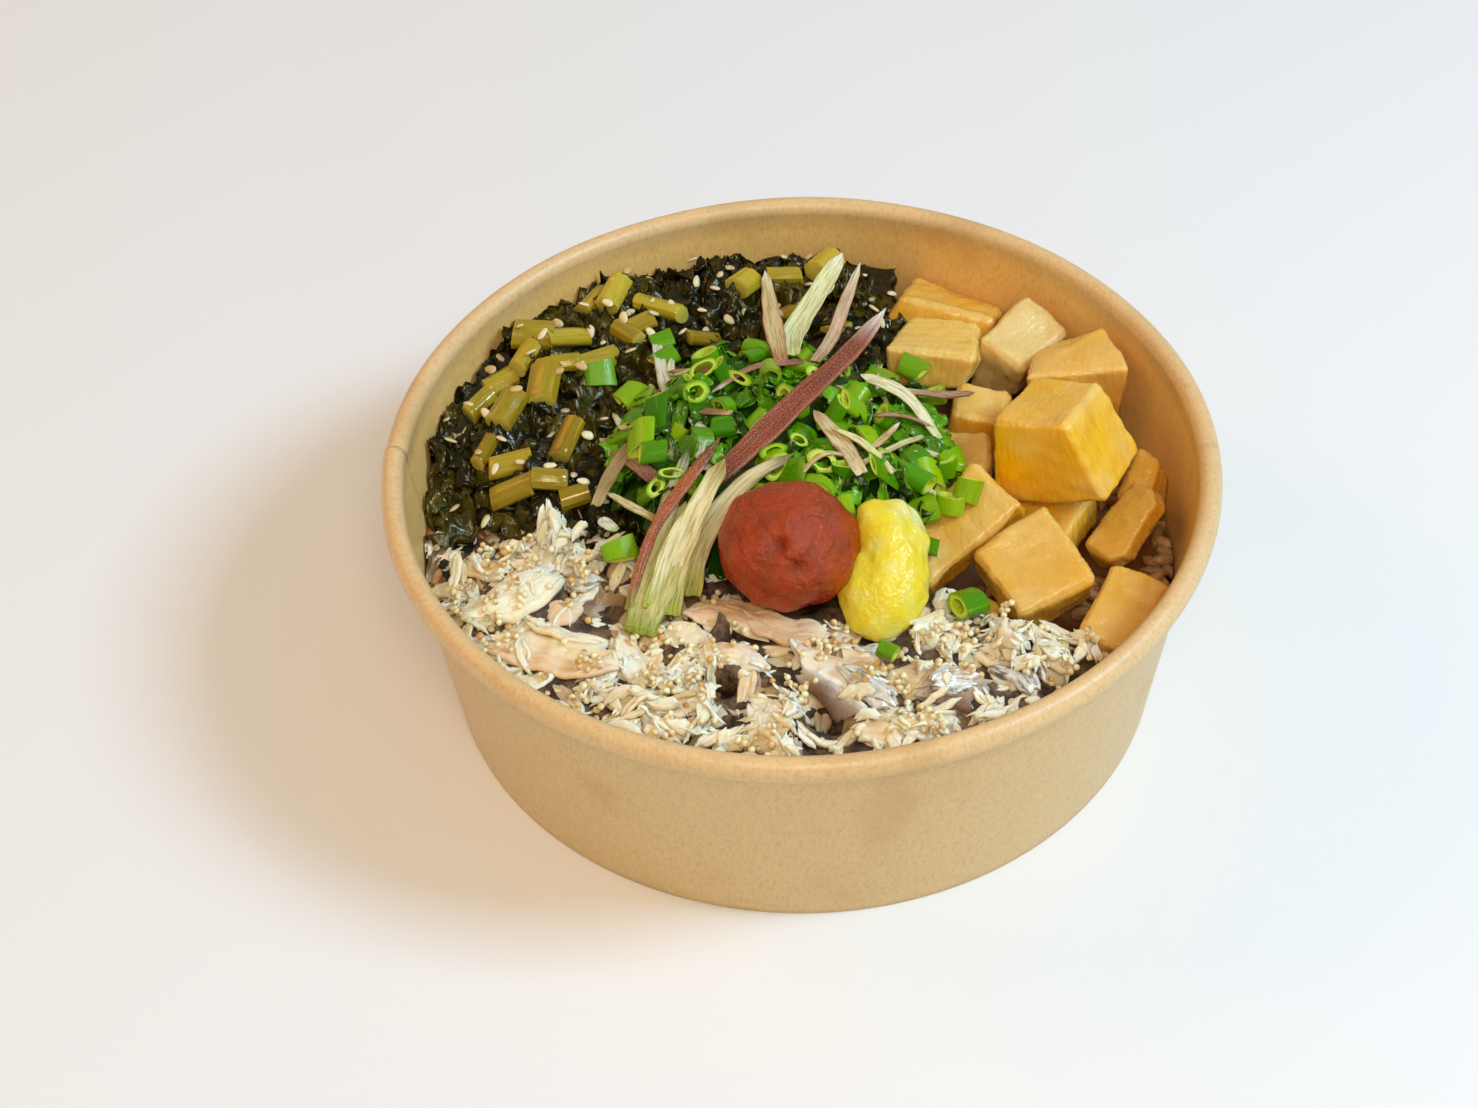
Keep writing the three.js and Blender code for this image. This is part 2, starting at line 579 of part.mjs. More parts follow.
function greensTop(x, y) {
  const banked = 41 + 4 * hump(x, y, [-60, 38, 22]) - 9 * hump(x, y, [-78, 0, 12]);
  const folds = 0.9 * wave(x, y, 15, 0.5) + 0.8 * wave(x, y, 11, 2.1);
  return banked + folds;
}

// Short ridged lengths of stem, where they show, each with its heading in degrees.
const STEMS = [
  [-55.3, 42, -5], [-48.6, 43.2, 35], [-39.2, 58.6, 15], [-29.4, 56.3, -25], [-62.1, 33.3, 30],
  [-52.5, 27.3, 80], [-59.6, 20.9, 70], [-58.5, 7.6, 5], [-57.7, 1.8, -2], [-42.1, 37.4, 20],
  [-11.3, 63.3, 40], [-2.7, 65.4, 10], [6.1, 68.4, 60], [-47, 12, 60], [-36, 47, -40], [-20, 46, 25],
  [8, 52, -30],
];

const STEM = { length: [6.6, 9.2], width: [4, 5.4], tilt: 14 };
const LEAVES = 10;
const LEAF = { length: [12, 17], width: [7, 10], tilt: 25, spacing: 11 };
const SESAME = 18;
const SESAME_SEED = { length: 3.1, width: 1.9, spacing: 6 };

function stemGeometry(length, width) {
  const profile = [[-1, 0], [-0.8, 0.7], [-0.3, 1], [0.3, 1], [0.8, 0.7], [1, 0], [0, -0.5]];
  const rings = [-0.5, 0.5].map((end) =>
    profile.map(([x, z]) => new THREE.Vector3((x * width) / 2, end * length, (z * width) / 2)),
  );
  return loft(rings);
}

// A crumpled leaf: a thin wavy sheet of even thickness.
function leafGeometry(length, width, phase) {
  const leaf = new THREE.BoxGeometry(length, width, 1, 4, 2, 1);
  const places = leaf.attributes.position;
  for (let i = 0; i < places.count; i++) {
    const x = places.getX(i);
    const y = places.getY(i);
    const fold = 1.6 * Math.sin(x * 0.7 + phase) + 1.1 * Math.sin(y * 0.9 + 2 * phase);
    places.setXYZ(i, x, y * Math.cos(x / length), places.getZ(i) + fold);
  }
  return leaf;
}

function greensPieces() {
  const random = seeded(37);
  const region = {
    low: [-74, -2],
    high: [16, 76],
    holds: (x, y) => Math.hypot(x, y) < 73 && y > -1 - (x + 48) * 0.1,
  };
  const stems = STEMS.map(([x, y, heading]) => {
    const stem = stemGeometry(between(random, ...STEM.length), between(random, ...STEM.width));
    const tilts = [between(random, -STEM.tilt, STEM.tilt), between(random, -STEM.tilt, STEM.tilt)];
    const turn = [heading - 90, ...tilts];
    return solidOf(placed(stem, [x, y, greensTop(x, y) + 0.3], turn));
  });
  const leaves = spread(random, LEAVES, LEAF.spacing, region).map(([x, y]) => {
    const size = [between(random, ...LEAF.length), between(random, ...LEAF.width)];
    const leaf = leafGeometry(...size, between(random, 0, 6));
    const turn = [0, -LEAF.tilt, -LEAF.tilt].map((low) => between(random, low, low ? -low : 180));
    return solidOf(placed(leaf, [x, y, greensTop(x, y) + 0.8], turn));
  });
  const sesame = spread(random, SESAME, SESAME_SEED.spacing, region).map(([x, y]) => {
    const seed = grainGeometry(SESAME_SEED.length, SESAME_SEED.width, 5, 3);
    return solidOf(placed(seed, [x, y, greensTop(x, y) + 0.5], [between(random, 0, 180), 0, 0]));
  });
  return [...stems, ...leaves, ...sesame];
}

// ---------------------------------------------------------------- mackerel
const MACKEREL_OUTLINE = [
  [-80, 0.6], [-46, -2.6], [-30, -14], [12, -14], [24, -26], [38, -34.5], [50, -38], [60, -44], [80, -58],
  [80, -80], [-80, -80],
];

function mackerelTop(x, y) {
  const low = 8 * hump(x, y, [-78, -6, 17]) + 3 * hump(x, y, [0, -80, 12]);
  const banked = 40.6 + 2.4 * hump(x, y, [0, -46, 30]) - low;
  const lumps = 1.1 * wave(x, y, 17, 0.3) + 0.9 * wave(x, y, 12, 1.9);
  return banked + lumps;
}

// The large flakes: middle in plan, length, width, heading, how steeply the far end rises.
const LARGE_FLAKES = [
  [-50, -13.5, 13, 8, 85, 40], [-55.4, -29.7, 21, 12, 24, 6], [-46.1, -44, 26, 9, -14, 4],
  [-32.6, -44.1, 17, 7, -67, 8], [-45.5, -32, 9, 7, 32, 8], [-14, -35, 17, 9, -15, 4],
  [-3.5, -39, 16, 8, -17, 2], [-21.9, -39.5, 12, 7, -50, 8], [-13.2, -46, 12, 7, -14, 6],
  [6.2, -51, 24, 9, -40, 5], [11.5, -46, 12, 7, -48, 8], [20.7, -51.1, 11, 7, -36, 12],
  [24, -37.5, 11, 7, 27, 14], [40.2, -41.5, 13, 7, -50, 16], [47, -43.5, 12, 6, -52, 20],
  [28, -55, 14, 9, 16, 6], [-6, -60.5, 14, 8, -40, 6], [16, -63, 14, 7, 16, 5], [-22, -57, 15, 8, 10, 6],
  [-64, -15, 13, 7, -35, 10],
];
const SMALL_FLAKES = 18;
const SMALL_FLAKE = { length: [7, 11], width: [3, 5], pitch: 20, rise: 30, spacing: 7.5 };
const SEEDS = 20;
const SEED = { radius: 0.95, spacing: 5 };
// Where the nori shows through: middle in plan, half length, half width, heading.
const BARE_SPOTS = [[-16.4, -51, 4.5, 2.4, -10], [4.6, -59.6, 5, 2.6, -8], [-72.5, -13, 4, 3, 70]];
const BARE_DEPTH = 16;

function bareSpot([x, y, length, width, heading]) {
  const hole = new THREE.SphereGeometry(1, 8, 6).scale(length, width, BARE_DEPTH);
  return solidOf(placed(hole, [x, y, mackerelTop(x, y)], [heading, 0, 0]));
}

// A flake of fish: a tapered bundle of fibres with a ridge, lying along X.
function flakeGeometry(length, width, random) {
  const profile = [[-1, -0.2], [-0.6, 0.8], [0.1, 0.5], [0.7, 1], [1, -0.1], [0, -1]];
  const bend = between(random, -0.12, 0.12);
  const rings = [-0.5, -0.22, 0.2, 0.5].map((end) => {
    const full = Math.max(0.35, 1 - (2 * Math.abs(end)) ** 2.2 + between(random, 0, 0.2));
    return profile.map(
      ([y, z]) =>
        new THREE.Vector3(
          end * length + between(random, -0.5, 0.5),
          ((y * width) / 2) * full + bend * length * (2 * end) ** 2,
          z * width * 0.24 * full,
        ),
    );
  });
  return loft(rings);
}

function mackerelPieces() {
  const random = seeded(51);
  const region = {
    low: [-74, -72],
    high: [60, 0],
    holds: (x, y) => Math.hypot(x, y) < 72 && y < Math.min(-3 - (x + 60) * 0.2, -12, -14 - (x - 12) * 0.6),
  };
  const large = LARGE_FLAKES.map(([x, y, length, width, heading, rise]) => {
    const at = [x, y, mackerelTop(x, y) + 1.2 + rise * 0.08];
    return solidOf(placed(flakeGeometry(length, width, random), at, [heading, 0, -rise]));
  });
  const small = spread(random, SMALL_FLAKES, SMALL_FLAKE.spacing, region).map(([x, y]) => {
    const { length, width, pitch, rise } = SMALL_FLAKE;
    const turn = [between(random, 0, 180), between(random, -pitch, pitch), between(random, -rise, rise)];
    const flake = flakeGeometry(between(random, ...length), between(random, ...width), random);
    return solidOf(placed(flake, [x, y, mackerelTop(x, y) + 0.8], turn));
  });
  const seeds = spread(random, SEEDS, SEED.spacing, region).map(([x, y]) =>
    solidOf(placed(new THREE.IcosahedronGeometry(SEED.radius), [x, y, mackerelTop(x, y) + 0.5], [0, 0, 0])),
  );
  return [...large, ...small, ...seeds];
}

// ---------------------------------------------------------------- assembly
const bowlSolid = solidOf(bowlGeometry());
const riceRoom = riceSolid(GAP);
const daikon = daikonBlocks();
const daikonRooms = daikon.map((block) => block.room);
const plum = solidOf(plumGeometry(0));
const plumRoom = solidOf(plumGeometry(GAP));
const paste = largest(cut(pasteSolid(0), [plumRoom, ...daikonRooms]));
const pasteRoom = pasteSolid(GAP);
const ginger = GINGER.map((strip) => gingerStrip(strip, 0));
const gingerRooms = GINGER.map((strip) => gingerStrip(strip, GAP));

const single = [plumRoom, pasteRoom, ...daikonRooms, ...gingerRooms];
const heapCore = cut(heapSolid(0), single);
const heapRoom = heapSolid(GAP);
const greensGround = groundSolid(GREENS_OUTLINE, greensTop, (x) => riceTop(x) + GAP, GROUND_CELL);
const greensCore = largest(cut(greensGround, [...single, heapRoom]));
const nori = groundSolid(NORI_OUTLINE, noriTop, noriFloor, NORI_CELL, NORI_INSET);
const noriRoom = groundSolid(NORI_OUTLINE, (x, y) => noriTop(x, y) + GAP, () => FLOOR, NORI_CELL);
const mackerelGround = groundSolid(MACKEREL_OUTLINE, mackerelTop, (x) => riceTop(x) + GAP, GROUND_CELL);
const bareSpots = BARE_SPOTS.map(bareSpot);
const mackerelCore = largest(cut(mackerelGround, [...single, heapRoom, noriRoom, ...bareSpots]));

const settled = [plum, paste, ...daikonRooms, ...ginger];
const heap = pile(heapCore, heapPieces(), [...settled, greensCore, mackerelCore]);
const greens = pile(greensCore, greensPieces(), [...settled, heap, mackerelCore]);
const mackerel = pile(mackerelCore, mackerelPieces(), [...settled, heap, greens]);
const rice = pile(riceSolid(0), ricePieces(), [mackerel, greensCore, nori, ...daikonRooms]);
const toppings = [plum, paste, heap, greens, mackerel, ...ginger];

const group = new THREE.Group();

function add(name, solid, colour, roughness) {
  const material = new THREE.MeshStandardMaterial({ color: colour, roughness, metalness: 0 });
  const mesh = new THREE.Mesh(geometryOf(solid), material);
  mesh.name = name;
  group.add(mesh);
}

add('bowl', bowlSolid, COLOURS.kraft, 0.6);
add('rice', rice, COLOURS.rice, 0.5);
add('nori', nori, COLOURS.nori, 0.4);
add('mackerel', mackerel, COLOURS.mackerel, 0.5);
add('greens', greens, COLOURS.greens, 0.3);
daikon.forEach(({ solid }, order) => {
  const number = String(order + 1).padStart(2, '0');
  const rings = RINGS_ON_DAIKON.filter(({ block }) => block === order + 1).map((ring) =>
    solidOf(placed(ringGeometry(ring.radius, ring.length), ring.at, ring.turn)),
  );
  const others = [...toppings, ...daikonRooms.filter((room, index) => index !== order)];
  add(`daikon_${number}`, pile(solid, rings, others), COLOURS.daikon, 0.3);
});
add('plum', plum, COLOURS.plum, 0.25);
add('paste', paste, COLOURS.paste, 0.2);
add('scallion_heap', heap, COLOURS.scallion, 0.4);
GINGER.forEach(({ name }, order) => add(`ginger_${name}`, ginger[order], COLOURS.ginger, 0.4));

export default group;
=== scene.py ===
import math

import bmesh
import bpy
import numpy as np
from mathutils import Matrix, Vector
from mathutils.bvhtree import BVHTree


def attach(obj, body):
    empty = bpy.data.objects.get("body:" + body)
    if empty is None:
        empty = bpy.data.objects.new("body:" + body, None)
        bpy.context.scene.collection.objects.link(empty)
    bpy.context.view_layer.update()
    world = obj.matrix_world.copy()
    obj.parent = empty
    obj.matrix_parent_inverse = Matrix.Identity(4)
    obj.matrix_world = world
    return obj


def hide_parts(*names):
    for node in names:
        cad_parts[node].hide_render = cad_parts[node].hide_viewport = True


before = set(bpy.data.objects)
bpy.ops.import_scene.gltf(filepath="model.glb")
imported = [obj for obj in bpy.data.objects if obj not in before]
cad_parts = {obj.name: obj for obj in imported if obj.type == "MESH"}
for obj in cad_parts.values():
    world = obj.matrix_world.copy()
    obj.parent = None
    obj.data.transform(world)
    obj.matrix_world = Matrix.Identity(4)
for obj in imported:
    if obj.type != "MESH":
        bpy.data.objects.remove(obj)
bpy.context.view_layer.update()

MM = 0.001

# ---------------------------------------------------------------- sizes shared with the frame
RIM_RADIUS = 82.5
BOWL_HEIGHT = 54.0
FOOT_RADIUS = 72.7
FOOT_WIDTH = 1.6
RECESS = 3.6
PAPER = 0.6
LIP_WIDTH = 4.5
LIP_HEIGHT = 5.4
LIP_FLOOR = BOWL_HEIGHT - LIP_HEIGHT
FLOOR = RECESS + PAPER


def wall_radius(z):
    """Radius of the bowl's outside at a height."""
    return FOOT_RADIUS + (RIM_RADIUS - LIP_WIDTH + PAPER * 1.5 - FOOT_RADIUS) * np.asarray(z) / LIP_FLOOR


# ---------------------------------------------------------------- colours
def rgb(code):
    """A colour written as six hexadecimal digits, as the linear numbers that shaders use."""
    parts = np.array([int(code[i : i + 2], 16) / 255 for i in (0, 2, 4)])
    return np.where(parts <= 0.04045, parts / 12.92, ((parts + 0.055) / 1.055) ** 2.4)


def blend(a, b, share):
    """Between two colours, or two rows of colours, by a share or a row of shares."""
    share = np.asarray(share, float)[..., None]
    return a * (1 - share) + b * share


# ---------------------------------------------------------------- shapes as arrays
def smooth(low, high, value):
    """From 0 to 1 with a soft start and end, as a value goes from low to high."""
    t = np.clip((np.asarray(value, float) - low) / (high - low), 0, 1)
    return t * t * (3 - 2 * t)


def unit(ways):
    """The same directions, each of length 1."""
    return ways / np.linalg.norm(ways, axis=-1, keepdims=True)


def stacked(*parts):
    """Points made of their x, y and z, each of them one number, a row, a column or a grid."""
    return np.stack(np.broadcast_arrays(*parts), -1)


def round_angles(count):
    """Even angles round a circle."""
    return np.linspace(0, 2 * np.pi, count, endpoint=False)


def patch(rows, columns):
    """Two grids from -1 to 1: one along the rows and one across them."""
    u = np.linspace(-1, 1, rows)[:, None] * np.ones(columns)
    return u, np.ones(rows)[:, None] * np.linspace(-1, 1, columns)[None, :]


def ball(rows, columns, tip):
    """Directions all round, in rings from one pole to the other, `tip` radians short of each."""
    down = np.linspace(tip, math.pi - tip, rows)[:, None]
    around = round_angles(columns)[None, :]
    return stacked(np.sin(down) * np.cos(around), np.sin(down) * np.sin(around), np.cos(down))


def heading(yaw, pitch):
    """The direction at an angle round the bowl and an angle upwards, in degrees."""
    yaw, pitch = math.radians(yaw), math.radians(pitch)
    return np.array([math.cos(yaw) * math.cos(pitch), math.sin(yaw) * math.cos(pitch), math.sin(pitch)])


# How many seeds of relief there are to draw from, and how deep in its grain a shape may lie.
SEEDS = 1 << 30
GRAIN_DEPTH = 90


def sheet_grain(random, along, across):
    """The grain of a thin sheet, the same on its top and its underside."""
    grain = stacked(along, across, random.uniform(0, GRAIN_DEPTH)).reshape(-1, 3)
    return np.concatenate([grain, grain])


def ripple(places, size, seed, waves=9):
    """Smooth relief, mostly between -1 and 1, whose bumps have one size."""
    random = np.random.default_rng(seed)
    turns = random.normal(size=(waves, places.shape[-1]))
    lengths = size * random.uniform(0.7, 1.5, (waves, 1))
    turns *= 2 * np.pi / lengths / np.linalg.norm(turns, axis=1, keepdims=True)
    phases = random.uniform(0, 2 * np.pi, waves)
    return np.sin(places @ turns.T + phases).sum(axis=-1) / math.sqrt(waves)


def ripples(places, seed, *layers):
    """Relief summed from layers, each given by its height and the size of its bumps."""
    return sum(height * ripple(places, size, seed + order) for order, (height, size) in enumerate(layers))


def drift(places, size, seed):
    """Smooth shifts of places, as far along each of their axes as the others."""
    return np.stack([ripple(places, size, seed + axis) for axis in range(places.shape[-1])], -1)


def furrows(places, size, seed, sharp):
    """Narrow lines between bumps of one size, 1 along their middle."""
    return np.exp(-np.abs(ripple(places, size, seed)) * sharp)


def sway(random, turns):
    """A wave with a start drawn at random."""
    return np.sin(turns + random.uniform(0, 6))


def any_turn(random, pitch, roll, yaw=360):
    """A heading, pitch and roll drawn at random."""
    return random.uniform(0, yaw), random.uniform(-pitch, pitch), random.uniform(-roll, roll)


def turned(places, yaw, pitch=0.0, roll=0.0):
    """Places turned about Y by the roll, then about X by the pitch, then about Z by the yaw."""
    turn = (
        Matrix.Rotation(math.radians(yaw), 3, "Z")
        @ Matrix.Rotation(math.radians(pitch), 3, "X")
        @ Matrix.Rotation(math.radians(roll), 3, "Y")
    )
    return places @ np.array(turn).T


def curve(points, shares):
    """Points of a smooth line through the given ones, at shares of the way from 0 to 1."""
    points = np.asarray(points, float)
    padded = np.vstack([2 * points[0] - points[1], points, 2 * points[-1] - points[-2]])
    at = np.clip(np.asarray(shares, float), 0, 1) * (len(points) - 1)
    piece = np.minimum(at.astype(int), len(points) - 2)
    t = (at - piece)[:, None]
    a, b, c, d = (padded[piece + i] for i in range(4))
    return 0.5 * (2 * b + (c - a) * t + (2 * a - 5 * b + 4 * c - d) * t**2 + (3 * b - a - 3 * c + d) * t**3)


def sides_of(line):
    """At each point of a line, the directions along it, across it and over it."""
    forward = unit(np.gradient(line, axis=0))
    across = unit(np.cross(forward, [0, 0, 1.0]) + 1e-6)
    return forward, across, np.cross(across, forward)


def quads(rows, columns, joined_rows=False, joined_columns=False):
    """The four-sided faces of a grid of points that is numbered row by row."""
    row = np.arange(rows if joined_rows else rows - 1)[:, None]
    column = np.arange(columns if joined_columns else columns - 1)[None, :]
    beside = (column + 1) % columns
    here, below = row * columns, ((row + 1) % rows) * columns
    return np.stack([here + column, below + column, below + beside, here + beside], -1).reshape(-1, 4)


def tube(rings):
    """A closed skin over rings of points, with a flat cap at each end."""
    rows, columns = rings.shape[:2]
    first = np.arange(columns)[None, :]
    last = (rows - 1) * columns + first[:, ::-1]
    return rings.reshape(-1, 3), [quads(rows, columns, joined_columns=True), first, last]


def sheet(top, bottom):
    """A closed thin sheet between two grids of points."""
    rows, columns = top.shape[:2]
    count = rows * columns
    index = np.arange(count).reshape(rows, columns)
    rim = np.concatenate([index[0], index[1:, -1], index[-1, -2::-1], index[-2:0:-1, 0]])
    ahead = np.roll(rim, -1)
    faces = quads(rows, columns)
    edge = np.stack([rim, ahead, ahead + count, rim + count], 1)
    places = np.concatenate([top.reshape(-1, 3), bottom.reshape(-1, 3)])
    return places, [faces, faces[:, ::-1] + count, edge]


def hollow(rings):
    """A skin like a ring doughnut: the rows and the columns both close on themselves."""
    rows, columns = rings.shape[:2]
    return rings.reshape(-1, 3), [quads(rows, columns, True, True)]


# ---------------------------------------------------------------- shapes as objects
def starts_of(sizes):
    """Where each face's corners start in one long row of them."""
    return np.concatenate([[0], np.cumsum(sizes)[:-1]])


def paint(mesh, name, kind, entry, values):
    """Stores a colour or a place with every point of a mesh, for its material to read."""
    layer = mesh.attributes.new(name, kind, "POINT")
    layer.data.foreach_set(entry, values.astype(np.float32).ravel())


def entries(items, entry, kind, width=1):
    """One entry of every item of a mesh, as an array."""
    values = np.empty(len(items) * width, kind)
    items.foreach_get(entry, values)
    return values if width == 1 else values.reshape(-1, width)


def shown(name, data):
    """A new object in the scene."""
    thing = bpy.data.objects.new(name, data)
    bpy.context.scene.collection.objects.link(thing)
    return thing


class Shapes:
    """Many small shapes gathered into one mesh. Every point has a colour and a place in its
    shape's own grain, in millimetres, which the material's fibres follow."""

    def __init__(self):
        self.places, self.tints, self.grains, self.faces, self.count = [], [], [], [], 0

    def add(self, shape, tint, grain=None):
        places, faces = shape
        self.places.append(places)
        self.tints.append(np.broadcast_to(tint, places.shape))
        self.grains.append(places if grain is None else grain)
        self.faces += [part + self.count for part in faces]
        self.count += len(places)

    def piece(self, name, material, slot, *nodes, sharp=None):
        """Shows the shapes as a piece of the part that rides on its one body."""
        mesh = bpy.data.meshes.new(name)
        places, tints = np.concatenate(self.places), np.concatenate(self.tints)
        sizes = np.concatenate([np.full(len(part), part.shape[1]) for part in self.faces])
        corners = np.concatenate([part.ravel() for part in self.faces])
        mesh.vertices.add(len(places))
        mesh.vertices.foreach_set("co", (places * MM).astype(np.float32).ravel())
        mesh.loops.add(len(corners))
        mesh.loops.foreach_set("vertex_index", corners.astype(np.int32))
        mesh.polygons.add(len(sizes))
        mesh.polygons.foreach_set("loop_start", starts_of(sizes).astype(np.int32))
        mesh.update(calc_edges=True)
        mesh.validate()
        paint(mesh, "tint", "FLOAT_COLOR", "color", np.c_[tints, np.ones(len(tints))])
        paint(mesh, "grain", "FLOAT_VECTOR", "vector", np.concatenate(self.grains))
        mesh.shade_smooth()
        if sharp:
            mesh.set_sharp_from_angle(angle=math.radians(sharp))
        mesh.materials.append(material)
        thing = shown(name, mesh)
        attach(thing, "root")
        if nodes:
            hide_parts(*nodes)


def refined(source, voxel, rounds):
    """A finer copy of a mesh as arrays: rebuilt in small even faces, then smoothed."""
    thing = shown("rough", source)
    remesh = thing.modifiers.new("fine", "REMESH")
    remesh.mode = "VOXEL"
    remesh.voxel_size = voxel * MM
    soften = thing.modifiers.new("soft", "SMOOTH")
    soften.factor = 0.5
    soften.iterations = rounds
    made = bpy.data.meshes.new_from_object(thing.evaluated_get(bpy.context.evaluated_depsgraph_get()))
    bpy.data.objects.remove(thing)
    places = entries(made.vertices, "co", np.float32, 3) / MM
    normals = entries(made.vertices, "normal", np.float32, 3)
    sizes = entries(made.polygons, "loop_total", np.int32)
    corners, starts = entries(made.loops, "vertex_index", np.int32), starts_of(sizes)
    faces = [corners[starts[sizes == n][:, None] + np.arange(n)] for n in np.unique(sizes)]
    bpy.data.meshes.remove(made)
    return places, normals, faces


def make_core(name, look, slot, node, colour, voxel, rounds, moved, steady=False):
    """Shows a food's core, moved in under what is laid on it. Its grain moves with it, or else
    is steady."""
    places, normals, faces = refined(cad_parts[node].data, voxel, rounds)
    core = Shapes()
    core.add((moved(places, normals), faces), rgb(colour), places if steady else None)
    core.piece(name, look, slot, node)


# ---------------------------------------------------------------- what lies where
CELL = 0.5
HALF = 84.0
SPOTS = int(2 * HALF / CELL) + 1
ABOVE_ALL = 100
TRIES_EACH = 25


def spot(x, y):
    """The rows and columns of the grid that points lie at."""
    steps = (np.rint((np.asarray(side) + HALF) / CELL) for side in (y, x))
    return tuple(np.clip(step, 0, SPOTS - 1).astype(int) for step in steps)


def around(level):
    """A grid moved by one place to each of the four sides."""
    return (np.roll(level, step, axis) for axis in (0, 1) for step in (-1, 1))


def blurred(level, reach):
    """A height grid with its small steps evened out."""
    for axis in (0, 1):
        total = sum(np.roll(level, step, axis) for step in range(-reach, reach + 1))
        level = total / (2 * reach + 1)
    return level


def seen_from_above():
    """For every grid place inside the bowl, the height of the highest solid and its name."""
    corners, faces, owners = [], [], []
    for name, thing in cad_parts.items():
        count = len(corners)
        corners += [tuple(v.co / MM) for v in thing.data.vertices]
        faces += [tuple(i + count for i in polygon.vertices) for polygon in thing.data.polygons]
        owners += [name] * len(thing.data.polygons)
    tree = BVHTree.FromPolygons(corners, faces)
    level = np.full((SPOTS, SPOTS), FLOOR)
    owner = np.full((SPOTS, SPOTS), "", dtype=object)
    for row, column in np.ndindex(SPOTS, SPOTS):
        x, y = column * CELL - HALF, row * CELL - HALF
        if math.hypot(x, y) > RIM_RADIUS - LIP_WIDTH:
            continue
        hit, _, face, _ = tree.ray_cast(Vector((x, y, ABOVE_ALL)), Vector((0, 0, -1)))
        if hit:
            level[row, column] = hit.z
            owner[row, column] = owners[face]
    return level, owner


class Ground:
    """The height of one food in the bowl, kept up to date as pieces are laid on it."""

    def __init__(self, mine, level):
        self.mine = mine
        self.level = level

    def at(self, x, y):
        return self.level[spot(x, y)]

    def lay(self, shape, at, turn, flex=0.0, sink=0.1, steep=0.5, touch=0.93):
        """Turns a shape and moves it down to rest at a place in plan: tilted as the ground is,
        bent to it by `flex`, and with its lowest points sunk in a little."""
        out = turned(shape, *turn) + [*at, 0]
        x, y, _ = out.T
        under = self.at(x, y)
        terms = np.c_[x - x.mean(), y - y.mean(), np.ones(len(x))]
        plane = np.linalg.lstsq(terms, under, rcond=None)[0]
        plane[:2] = np.clip(plane[:2], -steep, steep)
        out[:, 2] += (1 - flex) * (terms @ plane) + flex * under
        out[:, 2] += np.quantile(under - out[:, 2], touch) - sink
        out = kept_inside(out)
        np.maximum.at(self.level, spot(out[:, 0], out[:, 1]), out[:, 2])
        return out

    def scatter(self, random, count, spacing, holds=None):
        """Places on this food, spread evenly but not in rows."""
        rows, columns = np.nonzero(self.mine)
        chosen = []
        for _ in range(count * TRIES_EACH):
            if len(chosen) == count:
                break
            pick = random.integers(len(rows))
            x = columns[pick] * CELL - HALF + random.uniform(-CELL / 2, CELL / 2)
            y = rows[pick] * CELL - HALF + random.uniform(-CELL / 2, CELL / 2)
            near = any((x - a) ** 2 + (y - b) ** 2 < spacing**2 for a, b in chosen)
            if not near and (holds is None or holds(x, y)):
                chosen.append((x, y))
        return chosen


def kept_inside(places, room=0.35):
    """Draws in what would press into the bowl's wall."""
    reach = np.hypot(places[:, 0], places[:, 1])
    limit = wall_radius(np.minimum(places[:, 2], LIP_FLOOR)) - PAPER - room
    share = np.minimum(1, limit / np.maximum(reach, 1e-6))
    return places * stacked(share, share, 1)


# ---------------------------------------------------------------- materials
WARM_SHINE = (1.0, 0.86, 0.62, 1.0)
# The colour mixer's sockets for its share and its two colours, and the one it gives out.
MIX_SHARE, MIX_FIRST, MIX_SECOND, MIX_RESULT = 0, 6, 7, 2


